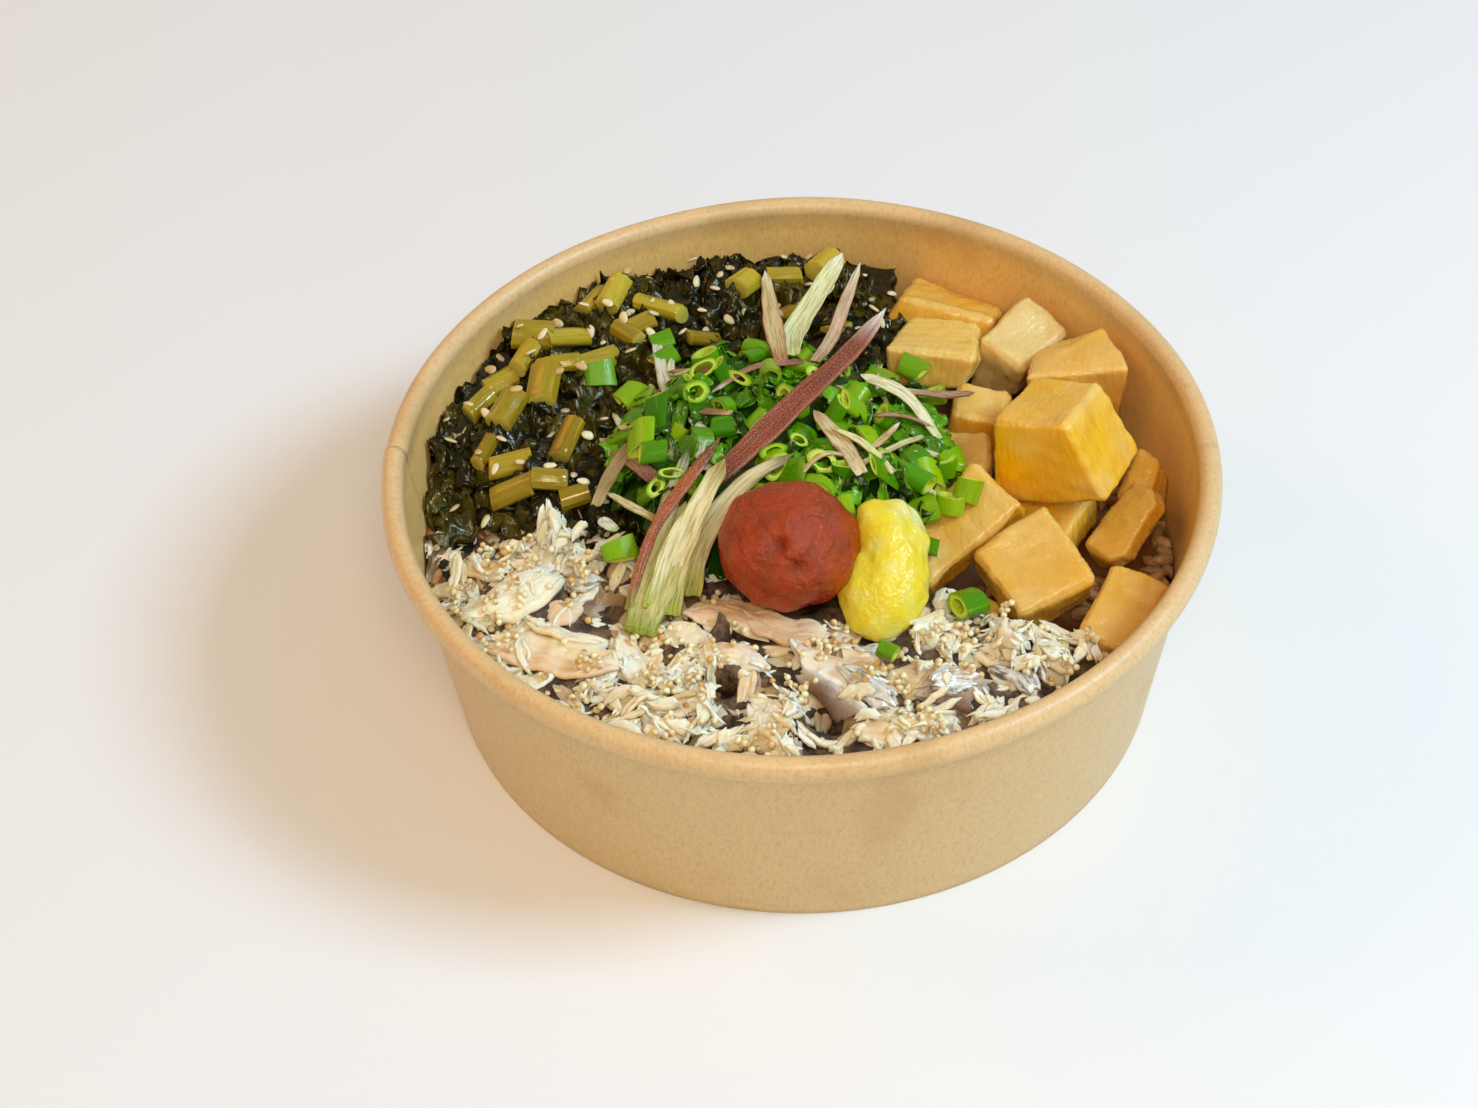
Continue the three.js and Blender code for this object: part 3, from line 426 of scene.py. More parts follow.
class Look:
    """A node material: one principled shader, a base colour that stains are laid over, and
    short calls for what feeds it."""

    def __init__(self, name, base=None, **sockets):
        self.material = bpy.data.materials.new(name)
        self.material.use_nodes = True
        self.tree = self.material.node_tree
        self.shader = self.tree.nodes["Principled BSDF"]
        for socket, value in sockets.items():
            self.shader.inputs[socket.replace("_", " ")].default_value = value
        self.base = rgb(base) if base else self.node("Attribute", {"attribute_name": "tint"}).outputs["Color"]

    def node(self, kind, settings=(), **inputs):
        made = self.tree.nodes.new("ShaderNode" + kind)
        for key, value in dict(settings).items():
            setattr(made, key, value)
        for key, value in inputs.items():
            self.feed(made.inputs[key.replace("_", " ")], value)
        return made

    def feed(self, socket, value):
        if isinstance(value, bpy.types.NodeSocket):
            self.tree.links.new(value, socket)
        elif isinstance(value, np.ndarray):
            socket.default_value = (*value, 1)
        else:
            socket.default_value = value

    def cloud(self, size, detail=3.0, roughness=0.55, distortion=0.0, stretch=(1, 1, 1), grain=True):
        """Numbers from 0 to 1 in blots of about `size` millimetres, set out in the shape's own
        grain or else in the bowl, and longer along an axis whose stretch is under 1."""
        if grain:
            place = self.node("Attribute", {"attribute_name": "grain"}).outputs["Vector"]
        else:
            place = self.node("TexCoord").outputs["Object"]
            stretch = tuple(part / MM for part in stretch)
        place = self.node("Mapping", Vector=place, Scale=stretch).outputs["Vector"]
        made = self.node("TexNoise", Vector=place, Scale=1 / size, Detail=detail, Roughness=roughness,
                         Distortion=distortion)
        return made.outputs["Fac"]

    def span(self, cloud, low, high, first, last):
        """From a first number to a last one, as a cloud goes from low to high."""
        made = self.node("MapRange", {"interpolation_type": "SMOOTHSTEP"}, Value=cloud, From_Min=low,
                         From_Max=high, To_Min=first, To_Max=last)
        return made.outputs["Result"]

    def sum(self, first, second, share=1.0):
        """One cloud and a share of another."""
        made = self.node("Math", {"operation": "MULTIPLY_ADD"})
        for socket, value in zip(made.inputs, (second, share, first)):
            self.feed(socket, value)
        return made.outputs[0]

    def stain(self, code, cloud, low, high, share=1.0, way="MIX"):
        """Lays a colour over the base, up to a share of it, as a cloud goes from low to high."""
        made = self.node("Mix", {"data_type": "RGBA", "blend_type": way})
        self.feed(made.inputs[MIX_SHARE], self.span(cloud, low, high, 0, share))
        self.feed(made.inputs[MIX_FIRST], self.base)
        self.feed(made.inputs[MIX_SECOND], rgb(code))
        self.base = made.outputs[MIX_RESULT]

    def dull(self, cloud, first, last, low=0.3, high=0.7):
        """A roughness from a first to a last value, as a cloud goes from low to high."""
        self.feed(self.shader.inputs["Roughness"], self.span(cloud, low, high, first, last))

    def done(self, relief=None, depth=0.0):
        """The material, with relief too fine for the mesh, `depth` millimetres from 0 to 1."""
        self.feed(self.shader.inputs["Base Color"], self.base)
        if relief:
            bump = self.node("Bump", Height=relief, Distance=depth * MM).outputs["Normal"]
            self.feed(self.shader.inputs["Normal"], bump)
            self.feed(self.shader.inputs["Coat Normal"], bump)
        return self.material


def moist(name, radius, scale, roughness, coat=0.0, weight=1.0):
    """Soft wet food. Light sinks in by the scale, in millimetres, times each colour's radius."""
    return Look(name, Roughness=roughness, Subsurface_Weight=weight, Subsurface_Scale=scale * MM,
                Subsurface_Radius=radius, Coat_Weight=coat, Coat_Roughness=0.12, Specular_Tint=WARM_SHINE)


def kraft_look():
    look = Look("kraft_paper", Roughness=0.42, Coat_Weight=0.18, Coat_Roughness=0.28)
    fibres = look.cloud(0.7, 5, 0.7, 0.4, (1, 0.45, 1))
    blots = look.cloud(3.2, 3, 0.6)
    look.stain("ad7f42", fibres, 0.42, 0.75, 0.32, "MULTIPLY")
    look.stain("ecd09a", blots, 0.5, 0.8, 0.25)
    look.stain("b98543", look.cloud(26, 2, 0.5), 0.52, 0.72, 0.35)
    look.dull(blots, 0.36, 0.5)
    return look.done(look.sum(fibres, blots, 0.8), 0.05)


def rice_look():
    look = moist("rice_grain", (1.0, 0.7, 0.4), 1.2, 0.3, 0.2)
    look.stain("7a4c22", look.cloud(1.4), 0.5, 0.8, 0.5)
    return look.done(look.cloud(0.5), 0.05)


def nori_look():
    look = Look("nori_sheet", "0d0f0a", Roughness=0.35, Specular_IOR_Level=0.5)
    fine = look.cloud(0.5, 4, 0.7, grain=False)
    look.stain("2b2f1c", fine, 0.45, 0.8)
    return look.done(look.sum(fine, look.cloud(2.4, grain=False), 1.5), 0.25)


def fish_look():
    look = moist("mackerel_flesh", (1.0, 0.6, 0.4), 0.6, 0.42, 0.08, 0.6)
    fibres = look.cloud(0.3, 4, 0.65, 0.3, (0.12, 1, 1))
    blots = look.cloud(2.4, 3, 0.6, stretch=(0.5, 1, 1))
    look.stain("c9a373", fibres, 0.5, 0.78, 0.4, "MULTIPLY")
    look.stain("d9b585", blots, 0.55, 0.8, 0.25)
    look.dull(blots, 0.26, 0.5)
    return look.done(look.sum(fibres, blots, 0.4), 0.14)


def skin_look():
    look = Look("mackerel_skin", Roughness=0.3, Coat_Weight=0.3, Coat_Roughness=0.1, Metallic=0.15)
    streaks = look.cloud(0.8, 4, 0.65, 0.6, (0.16, 1, 1))
    spots = look.cloud(1.6, stretch=(0.6, 1, 1))
    look.stain("5d5352", streaks, 0.5, 0.62, 0.85)
    # White patches: the skin's own silver, partly a painted sheen.
    look.stain("fffdf6", spots, 0.5, 0.66, 0.7)
    return look.done(look.sum(streaks, spots, 0.5), 0.16)


def bed_look():
    # A dark brown sheet blotched near black, a painted shade for the gaps between the flakes.
    look = Look("mackerel_shade_bed", "3c281c", Roughness=0.4)
    blots = look.cloud(4.5, 3, 0.6, grain=False)
    fine = look.cloud(0.9, 4, 0.7, grain=False)
    look.stain("8a6a4a", blots, 0.4, 0.65)
    look.stain("140c08", fine, 0.5, 0.7, 0.8)
    return look.done(look.sum(fine, blots), 0.7)


def seed_look(name, coat):
    look = Look(name, Roughness=0.4, Coat_Weight=coat, Coat_Roughness=0.2, Subsurface_Weight=0.3,
                Subsurface_Scale=0.5 * MM)
    fine = look.cloud(0.35, 2, grain=False)
    look.stain("d9a860", fine, 0.5, 0.8, 0.35, "MULTIPLY")
    return look.done(fine, 0.04)


def leaf_look():
    look = Look("pickled_leaf", Roughness=0.2, Specular_IOR_Level=0.5, Specular_Tint=WARM_SHINE)
    veins = look.cloud(1.3, 4, 0.7, 1.2, (0.5, 1.2, 1))
    blots = look.cloud(4.0, 2)
    look.stain("6e6410", veins, 0.55, 0.72, 0.4)
    look.stain("080702", blots, 0.45, 0.7, 0.6)
    look.dull(blots, 0.08, 0.22)
    return look.done(look.sum(veins, look.cloud(0.6, 2), 0.3), 0.2)


def stem_look():
    look = moist("pickled_stem", (1.0, 0.75, 0.12), 1.4, 0.14, 0.45, 0.7)
    fibres, streaks = (look.cloud(size, stretch=(0.12, 1, 1)) for size in (0.6, 1.1))
    look.stain("7d6a06", fibres, 0.45, 0.75, 0.4)
    look.stain("dccb4e", streaks, 0.55, 0.8, 0.4)
    return look.done(fibres, 0.07)


def daikon_look():
    look = moist("simmered_daikon", (0.9, 0.66, 0.22), 2.4, 0.26, 0.35, 0.8)
    flecks = look.cloud(0.55, 3, 0.6, 0.5, (1, 1, 0.17))
    bands = look.cloud(2.6, 2, stretch=(1, 1, 0.3))
    look.stain("fae6ae", flecks, 0.62, 0.78, 0.4)
    look.stain("d08c12", bands, 0.5, 0.8, 0.25)
    look.stain("f2d890", look.cloud(8.0, 2), 0.52, 0.75, 0.45)
    look.dull(flecks, 0.16, 0.34, 0.35, 0.65)
    return look.done(look.sum(flecks, bands, 0.5), 0.14)


def plum_look():
    look = moist("salted_plum", (1.0, 0.2, 0.05), 1.2, 0.24, 0.3)
    fine = look.cloud(1.1, 4, 0.65, grain=False)
    look.stain("6e1c02", look.cloud(5.0, grain=False), 0.45, 0.75, 0.45)
    look.stain("cc6410", fine, 0.55, 0.8, 0.35)
    look.dull(fine, 0.12, 0.3)
    return look.done(look.sum(fine, look.cloud(0.35, 2, grain=False), 0.6), 0.4)


def paste_look():
    look = moist("yellow_paste", (1.0, 0.8, 0.2), 2.0, 0.2, 0.25)
    blots, fine = (look.cloud(size, grain=False) for size in (3.2, 0.9))
    look.stain("dcb810", blots, 0.5, 0.8, 0.4)
    return look.done(look.sum(fine, blots), 0.3)


def scallion_look():
    look = moist("scallion", (0.8, 1.0, 0.1), 0.5, 0.18, 0.06, 0.35)
    fibres, streaks = (look.cloud(size, stretch=(1, 0.12, 1)) for size in (0.28, 0.8))
    look.stain("245c04", fibres, 0.5, 0.75, 0.35)
    look.stain("bce048", streaks, 0.6, 0.8, 0.3)
    return look.done(fibres, 0.08)


def bud_look():
    look = moist("ginger_bud", (1.0, 0.7, 0.3), 0.7, 0.26, 0.1, 0.6)
    fibres = look.cloud(0.36, 2, 0.5, stretch=(0.05, 1, 1))
    specks = look.cloud(0.3, 1, stretch=(1.7, 1, 1))
    look.stain("988a4c", fibres, 0.5, 0.62, 0.5, "MULTIPLY")
    look.stain("b09a58", look.cloud(2.2, 2, stretch=(0.3, 1, 1)), 0.5, 0.75, 0.35, "MULTIPLY")
    look.stain("8c7062", specks, 0.52, 0.6, 0.8, "SCREEN")
    return look.done(look.sum(fibres, specks, 0.5), 0.16)


# ---------------------------------------------------------------- the paper bowl
AROUND = 288
WALL_STEPS = 26
SEAM_AT = math.radians(178)
SEAM_STEP = 0.3
SEAM_FADE = 7.0
SEAM_DARK = 0.45
SEAM_DARK_REACH = 0.35
# Where the bowl's skin is finer near the seam, in millimetres round a wall at mid height.
SEAM_FINE = np.array([-3, -0.6, -0.25, 0, 0.12, 0.5, 1.5, 3.5, 6])
MID_HEIGHT = 30
KRAFT = rgb("d7b67b")
# The lip's paper is painted paler, a painted light and sheen on the rolled lip. The inside is painted
# brighter and more orange, a painted light bounced round the bowl.
KRAFT_RIM = rgb("e6c088")
KRAFT_INSIDE = rgb("eec274")


def on_wall(z, out=0.0, up=0.0):
    """Radius and height of the wall's outside at a height, or a step out and up from there."""
    return float(wall_radius(z)) + out, z + up


def bowl_profile():
    """Radius and height from under the middle, up the outside, over the lip and back inside,
    and which of these points are inside."""
    within = FOOT_RADIUS - FOOT_WIDTH
    foot = [(0, RECESS), (within - 1.2, RECESS), (within, RECESS - 0.9), (within, 0.25), (within + 0.3, 0),
            (FOOT_RADIUS - 0.3, 0)]
    outside = [on_wall(z) for z in np.linspace(0.3, LIP_FLOOR - 1.5, WALL_STEPS)]
    bead = [on_wall(LIP_FLOOR - 1.1, 0.45), on_wall(LIP_FLOOR, 0.75, -0.45), on_wall(LIP_FLOOR, 0.7, 0.15)]
    middle = (RIM_RADIUS - LIP_WIDTH / 2, BOWL_HEIGHT - LIP_HEIGHT / 2)
    lip = [(middle[0] + math.cos(angle) * LIP_WIDTH / 2, middle[1] + math.sin(angle) * LIP_HEIGHT / 2)
           for angle in np.linspace(-0.42 * math.pi, math.pi, WALL_STEPS)]
    inside = [on_wall(z, -PAPER) for z in np.linspace(LIP_FLOOR, FLOOR + 1.2, WALL_STEPS)]
    inside += [on_wall(FLOOR, -PAPER - 0.4, 0.35), (FOOT_RADIUS - 3, FLOOR), (0, FLOOR)]
    profile = np.array(foot + outside + bead + lip + inside)
    return profile, np.arange(len(profile)) >= len(profile) - len(inside)


def make_bowl():
    profile, inner = bowl_profile()
    radius, height = profile.T
    turns = np.unique(np.concatenate([round_angles(AROUND), SEAM_AT + SEAM_FINE / wall_radius(MID_HEIGHT)]))
    past = (turns - SEAM_AT) * wall_radius(MID_HEIGHT)
    step = np.where((past > 0) & (past < SEAM_FADE), 1 - np.abs(past) / SEAM_FADE, 0)[:, None] * SEAM_STEP
    wide = radius + step * np.where(inner, -1, 1) * (radius > FOOT_RADIUS - 1)
    wobble = (0.12 * np.sin(5 * turns + 1) + 0.08 * np.sin(9 * turns))[:, None]
    lift = step * smooth(BOWL_HEIGHT - 2, BOWL_HEIGHT, height)
    lift = lift + wobble * smooth(MID_HEIGHT, BOWL_HEIGHT, height)
    rings = stacked(wide * np.cos(turns)[:, None], wide * np.sin(turns)[:, None], height + lift)
    rows, columns = rings.shape[:2]
    faces = quads(rows, columns, joined_rows=True)
    faces = faces[((faces % columns > 0) & (faces % columns < columns - 1)).all(axis=1)]
    ends = np.arange(rows) * columns
    ahead = np.roll(ends, -1)
    middle = np.full(rows, rows * columns)
    under = np.stack([ends + 1, ahead + 1, middle], 1)
    over = np.stack([ahead + columns - 2, ends + columns - 2, middle + 1], 1)
    centres = np.array([[0, 0, RECESS], [0, 0, FLOOR]])
    dark = SEAM_DARK * np.exp(-((past / SEAM_DARK_REACH) ** 2))
    # Both sides are painted paler towards the lip's top, a painted light. The inside is painted brighter all
    # over, a painted bounce light.
    outside = blend(KRAFT, KRAFT_RIM, smooth(LIP_FLOOR, BOWL_HEIGHT, height))
    inside = blend(KRAFT_INSIDE, KRAFT_RIM, smooth(LIP_FLOOR - 2, BOWL_HEIGHT, height))
    tint = np.where(inner[:, None], inside, outside) * (1 - dark[:, None, None])
    grain = stacked(turns[:, None] * RIM_RADIUS, height, radius)
    shapes = Shapes()
    shapes.add((np.concatenate([rings.reshape(-1, 3), centres]), [faces, under, over]),
               np.concatenate([tint.reshape(-1, 3), [KRAFT, KRAFT]]),
               np.concatenate([grain.reshape(-1, 3), centres]))
    shapes.piece("paper_bowl", kraft_look(), "kraft_paper", "bowl", sharp=60)


# ---------------------------------------------------------------- rice and nori
RICE_PALE = rgb("d8b184")
RICE_DEEP = rgb("8f5f34")
RICE_SEED = 11
GRAINS = 620


def grain_rings(length, width, sides, steps):
    """A grain lying along X, thickest in the middle."""
    shares = np.linspace(-1, 1, steps)[:, None]
    half = (width / 2) * np.maximum(1 - np.abs(shares) ** 2.4, 0.02) ** 0.5
    angles = round_angles(sides)
    return stacked(shares * length / 2, half * np.cos(angles), half * np.sin(angles))


def make_rice(ground):
    look = rice_look()
    make_core("rice_bed", look, "rice", "rice", "6b4828", voxel=1.6, rounds=2,
              moved=lambda places, normals: places - normals * 0.4)
    random = np.random.default_rng(RICE_SEED)
    grains = Shapes()
    for at in ground.scatter(random, GRAINS, spacing=2.2):
        shape, faces = tube(grain_rings(random.uniform(5.0, 6.6), random.uniform(2.3, 2.9), sides=8, steps=7))
        out = ground.lay(shape, at, any_turn(random, pitch=12, roll=25, yaw=180), sink=0.5, steep=0.2)
        grains.add((out, faces), blend(RICE_PALE, RICE_DEEP, random.uniform(0, 1)))
    grains.piece("rice_grains", look, "rice")


def make_nori():
    make_core("nori_sheet", nori_look(), "nori", "nori", "14140f", voxel=0.6, rounds=1,
              moved=lambda places, normals: places + stacked(0, 0, 0.18 * ripple(places[:, :2], 5, seed=3)))


# ---------------------------------------------------------------- mackerel
CREAM = rgb("faebc4")
WHITE = rgb("fffae8")
TAN = rgb("e0be8e")
ROSE = rgb("f2d2ac")
DARK = rgb("7c5a48")
SILVER = rgb("dedbd0")
PALE_PAIRS = [(CREAM, WHITE), (CREAM, WHITE), (ROSE, CREAM), (TAN, CREAM), (SILVER, TAN)]
# The lower layer's colours: flesh colours dimmed, a painted shade, and the dark meat.
DEEP_PAIRS = [(TAN * 0.7, DARK), (TAN * 0.8, ROSE * 0.7), (CREAM * 0.7, TAN * 0.7)]

# The large flakes: middle in plan, length, width, heading, how steeply one end rises, the two
# colours that run across them, and how torn they are, from 0 to 1.
FLAKES = [
    (-14, -33, 20, 11, -15, 2, ROSE, TAN, 0.0), (-3.5, -38, 19, 9, -17, 3, TAN, ROSE, 0.1),
    (-44.4, -22.8, 12, 6, -13, 4, TAN, SILVER, 0.2), (-46, -31, 10, 8, 32, 6, ROSE, TAN, 0.0),
    (-62, -16, 13, 7, -35, 8, CREAM, TAN, 0.4), (-70, -18.5, 12, 5, -38, 6, CREAM, WHITE, 0.4),
    (-54, -21, 12, 9, 39, 10, WHITE, CREAM, 0.4), (-55.4, -29.7, 24, 14, 24, 6, CREAM, WHITE, 0.05),
    (-68, -26, 11, 5, -30, 6, CREAM, WHITE, 0.4), (-58, -40, 16, 7, -25, 4, WHITE, SILVER, 0.2),
    (-46.1, -43, 30, 11, -14, 3, ROSE, CREAM, 0.05), (-46, -38, 20, 5, -16, 5, CREAM, WHITE, 0.2),
    (-32.6, -43.6, 20, 6.5, -67, 8, WHITE, ROSE, 0.1), (-21.9, -39.5, 13, 8, -50, 12, WHITE, CREAM, 0.3),
    (-13.2, -45.6, 16, 7, -14, 8, WHITE, ROSE, 0.15), (-24, -47, 12, 6, 48, 10, WHITE, CREAM, 0.4),
    (11.5, -46, 14, 7, -48, 6, CREAM, TAN, 0.1), (6.2, -51, 28, 10, -40, 5, WHITE, ROSE, 0.05),
    (4.6, -55.6, 20, 4, -41, 3, DARK, SILVER, 0.1), (20.7, -51.1, 12, 9, -36, 14, CREAM, TAN, 0.05),
    (24, -37, 12, 6, 27, 16, WHITE, CREAM, 0.5), (28, -54.8, 17, 10, 16, 5, DARK, ROSE, 0.2),
    (39.4, -49.3, 13, 8, -43, 8, SILVER, CREAM, 0.4), (39, -39.6, 15, 6, -50, 18, WHITE, CREAM, 0.3),
    (45.5, -43.1, 14, 6, -54, 16, CREAM, WHITE, 0.4), (50, -38.5, 15, 5, -41, 18, WHITE, CREAM, 0.3),
    (-6.9, -60.5, 15, 7, -46, 8, WHITE, CREAM, 0.4), (-7, -65, 13, 5, -20, 4, CREAM, TAN, 0.3),
    (15, -63, 15, 7, 14, 6, CREAM, TAN, 0.3), (22, -62, 13, 6, 21, 6, WHITE, CREAM, 0.4),
    (-22, -57, 15, 7, 10, 8, WHITE, CREAM, 0.4), (-34, -54, 14, 6, -20, 8, CREAM, ROSE, 0.3),
    (-50.2, -15, 16, 9, 82, 34, WHITE, CREAM, 0.4), (-49.5, -10.5, 12, 6, 96, 50, WHITE, WHITE, 0.4),
    (-45, -15, 11, 6, 60, 36, WHITE, CREAM, 0.5), (-56, -13.5, 12, 6, 125, 26, WHITE, CREAM, 0.5),
]
# Flakes that keep some of the silver skin: middle in plan, length, width, heading, rise.
SKIN_FLAKES = [
    (11.5, -56.0, 15, 5.5, -38, 4), (27.5, -53.6, 12, 7, 14, 6), (40, -50, 12, 6, -44, 8),
    (-43, -24, 8, 4, -12, 4), (12, -41.5, 8, 5, 10, 4),
]
# Flakes laid at random: how many, how far apart, the ranges of their length, width, rise and
# tear, their colours, the step of their mesh and how far they bend to the ground.
RANDOM_FLAKES = {
    "under_flakes": (110, 4.6, (8, 13), (4, 7), (0, 8), (0, 0.5), DEEP_PAIRS, 0.9, 0.5),
    "small_flakes": (92, 5.2, (7, 13), (3.2, 6.5), (0, 12), (0.05, 0.5), PALE_PAIRS, 0.56, 0.25),
}
# Places where the fish is most shredded: middle in plan, reach, pieces, main heading, and how
# far the pieces stand up.
TUFTS = [
    (-48, -11, 5, 14, 80, 34), (-43, -17, 5, 9, 40, 20), (-57, -14, 6, 10, 120, 18),
    (-67, -15, 5, 9, 110, 10), (-66, -24, 4, 6, -40, 8), (-58, -45, 5, 6, -30, 8),
    (-40, -51, 6, 10, -25, 10), (-34, -55, 7, 14, 20, 10), (-24, -60, 7, 15, -15, 12),
    (-16, -63, 6, 12, 30, 10), (-4, -66, 6, 11, -10, 10), (-2, -57, 5, 7, -40, 10), (32, -39, 5, 8, 60, 18),
    (39, -44, 6, 13, -50, 22), (46, -47, 5, 11, -30, 16), (52, -41, 4, 9, -40, 18), (34, -60, 5, 8, 30, 10),
    (18, -66, 6, 10, 10, 8), (-20, -48, 5, 7, 70, 10), (22, -44, 4, 5, -20, 10), (-27, -50, 5, 8, -60, 10),
    (8, -60, 6, 6, 10, 8), (26, -60, 5, 7, 20, 8),
]
# Where the dark bed, a painted shade, shows between the flakes: middle in plan and reach.
BARE_SPOTS = [(-16.4, -51, 3.4), (4.6, -59.6, 4.0), (-72.5, -13, 3.4), (-49.5, -35.5, 2.0),
              (17.6, -42.6, 2.8), (33, -51, 2.2)]
MACKEREL_SEED = 51
SHREDS = 60
SHRED_STAND = 12
# Every sixth shred is a few threads.
THREADS_EVERY = 6
CRUMBS = 40
LOOSE_THREADS = 30
SEED_CLUSTERS = 84
MUSCLE_BANDS = 30
# A millet seed's rings: how far along it and how wide, the last ones turned into its dimple.
MILLET = np.array([(-1, 0.15), (-0.8, 0.6), (-0.4, 0.92), (0, 1), (0.4, 0.92), (0.75, 0.66), (0.93, 0.4),
                   (0.8, 0.12)])
MILLET_PALE = rgb("fbf0c4")
MILLET_TAN = rgb("e0b25c")
MILLET_BROWN = rgb("7c451b")
MILLET_RED = rgb("5a1c14")


def broken(random, shares, knots, low, high):
    """Heights of a line with random kinks, at shares from -1 to 1."""
    return np.interp(shares, np.linspace(-1, 1, knots), random.uniform(low, high, knots))


def flake(random, length, width, rise, torn, step):
    """A flake of fish along X: a thin sheet with an angular outline and a fold, made of muscle
    bands side by side that lie a little higher or lower and end unevenly."""
    u, v = patch(int(length / step) + 4, int(width / (0.8 * step)) + 4)
    across = (v[0] + 1) * width / 2
    borders = np.cumsum(random.uniform(0.8, 2.2, MUSCLE_BANDS) * (1.1 - 0.5 * torn))
    order = np.searchsorted(borders, across)
    before = np.r_[0, borders][order]
    middle = 1 - np.abs(2 * (across - before) / (borders[order] - before) - 1)
    ends = np.stack([broken(random, v[0], 5, 0.72 - 0.2 * torn, 1.0) for _ in range(2)])
    ends -= random.uniform(0, 0.06 + 0.34 * torn, (2, len(borders)))[:, order]
    ends -= (0.3 + 1.2 * torn) / length * (1 - middle) ** 2
    x = np.where(u < 0, u * ends[0], u * ends[1]) * length / 2
    taper = random.uniform(0.35, 0.85, 2)
    full = 1 - np.where(u < 0, taper[0], taper[1]) * np.abs(u) ** 2.6
    side = np.stack([broken(random, u[:, 0], 6, 0.68, 1.0) for _ in range(2)])[:, :, None]
    full = full * np.where(v < 0, side[0], side[1]) * (1 + 0.04 * torn * np.sin(21 * u + 9 * v))
    y = v * full * width / 2 + random.uniform(-0.1, 0.1) * length * u**2
    edge = np.clip(1.3 - v**8, 0.45, 1) * np.clip(1.3 - np.abs(u) ** 6, 0.35, 1)
    thick = (0.55 + 0.07 * width) * random.uniform(0.8, 1.2) * edge
    seed = random.integers(SEEDS)
    flat = np.stack([x, y], -1)
    ridge = random.uniform(-0.5, 0.5) + random.uniform(-0.5, 0.5) * u
    fold = -random.uniform(-0.05, 0.3) * width / 2 * np.abs(v - ridge)
    bend = -random.uniform(-0.08, 0.16) * length / 2 * np.abs(u - random.uniform(-0.4, 0.4))
    steps = random.normal(size=len(borders))[order] * (0.1 + 0.12 * torn)
    lumps = 0.22 * ripple(flat, 6, seed) + (0.05 + 0.1 * torn) * ripple(flat * [0.4, 1], 1.8, seed + 1)
    lift = x * math.tan(math.radians(rise)) * smooth(-0.6, 0.9, u)
    base = fold + bend + lumps + lift
    top = np.stack([x, y, base + 0.6 * thick + steps - 0.1 * (1 - middle) ** 3], -1)
    bottom = np.stack([x, y * 0.96, base - 0.4 * thick - 0.1], -1)
    return top, bottom, u, v, middle


def thread(random, length, width):
    """A loose thread of flesh along X, bent to one side and drawn thin at both ends."""
    t = np.linspace(-1, 1, 10)[:, None]
    angles = round_angles(6)
    half = width / 2 * np.clip(1.04 - np.abs(t) ** 3, 0.1, 1)
    side = random.normal() * 0.1 * length * t**2 + 0.15 * sway(random, 4 * t)
    high = random.uniform(-0.1, 0.2) * length * (1 - t**2) * random.uniform(0, 1)
    return stacked(t * length / 2, side + half * np.cos(angles), high + 0.5 * half * np.sin(angles))


def crumb(random, size):
    """A lump of flesh, uneven all over."""
    way = ball(rows=9, columns=12, tip=0.05)[..., [2, 0, 1]]
    reach = size * (1 + 0.26 * ripple(way, 1.3, random.integers(SEEDS)))
    return way * reach[..., None] * [0.75, random.uniform(0.35, 0.55), 0.4]


def lay_flake(ground, shapes, random, at, size, yaw, rise, colours, torn, step=0.46, flex=0.25):
    """Lays one flake, whose colour runs from one side to the other and is palest at its ends. It is painted
    darker in the grooves between its muscle bands and on its underside, a painted shade.
    """
    top, bottom, u, v, middle = flake(random, *size, rise, torn, step)
    places, faces = sheet(top, bottom)
    roll = random.uniform(-1, 1) * (5 + 12 * torn)
    out = ground.lay(places, at, (yaw, roll), flex=flex, sink=0.3, touch=0.88)
    run = 0.5 + 0.6 * (v - random.uniform(-0.4, 0.4)) + 0.25 * sway(random, 3 * u)
    tint = blend(*colours, np.clip(run, 0, 1)) * random.uniform(0.94, 1.0)
    # Painted shade: darker and browner in the grooves between the muscle bands.
    tint = blend(tint, tint * [0.88, 0.78, 0.62], (1 - middle) ** 3 * (0.3 + 0.3 * torn))
    tint = blend(tint, WHITE, 0.5 * np.abs(u) ** 3).reshape(-1, 3)
    grain = sheet_grain(random, u * size[0] / 2, v * size[1] / 2)
    # Painted shade: the underside is darker.
    shapes.add((out, faces), np.concatenate([tint, tint * 0.85]), grain)


def lay_threads(ground, shapes, random, at, yaw, count, length):
    """Lays a few threads side by side, mostly with one heading."""
    for _ in range(count):
        size = length * random.uniform(0.6, 1.2)
        places, faces = tube(thread(random, size, random.uniform(0.6, 1.2)))
        near = at + random.normal(size=2) * 1.3
        turn = (yaw + random.normal() * 24, 0, random.normal() * 9)
        out = ground.lay(places, near, turn, flex=0.4, sink=0.15, touch=0.8)
        shapes.add((out, faces), blend(CREAM, WHITE, random.uniform(0, 1)), places)


def covered(x, y):
    """True where no bare spot is."""
    return all(math.hypot(x - a, y - b) > reach for a, b, reach in BARE_SPOTS)


def lay_shreds(ground, shreds, bits, random, places):
    """Lays narrow torn pieces, and now and then three threads, at places with headings."""
    for number, (x, y, yaw, stand) in enumerate(places):
        if not ground.mine[spot(x, y)] or not covered(x, y):
            continue
        if (number + 1) % THREADS_EVERY == 0:
            lay_threads(ground, bits, random, (x, y), yaw, count=3, length=random.uniform(4, 7))
        else:
            size = (random.uniform(4.5, 10), random.uniform(1.3, 3.2))
            lay_flake(ground, shreds, random, (x, y), size, yaw, random.uniform(0, stand), (CREAM, WHITE),
                      torn=random.uniform(0.2, 0.7), step=0.56)


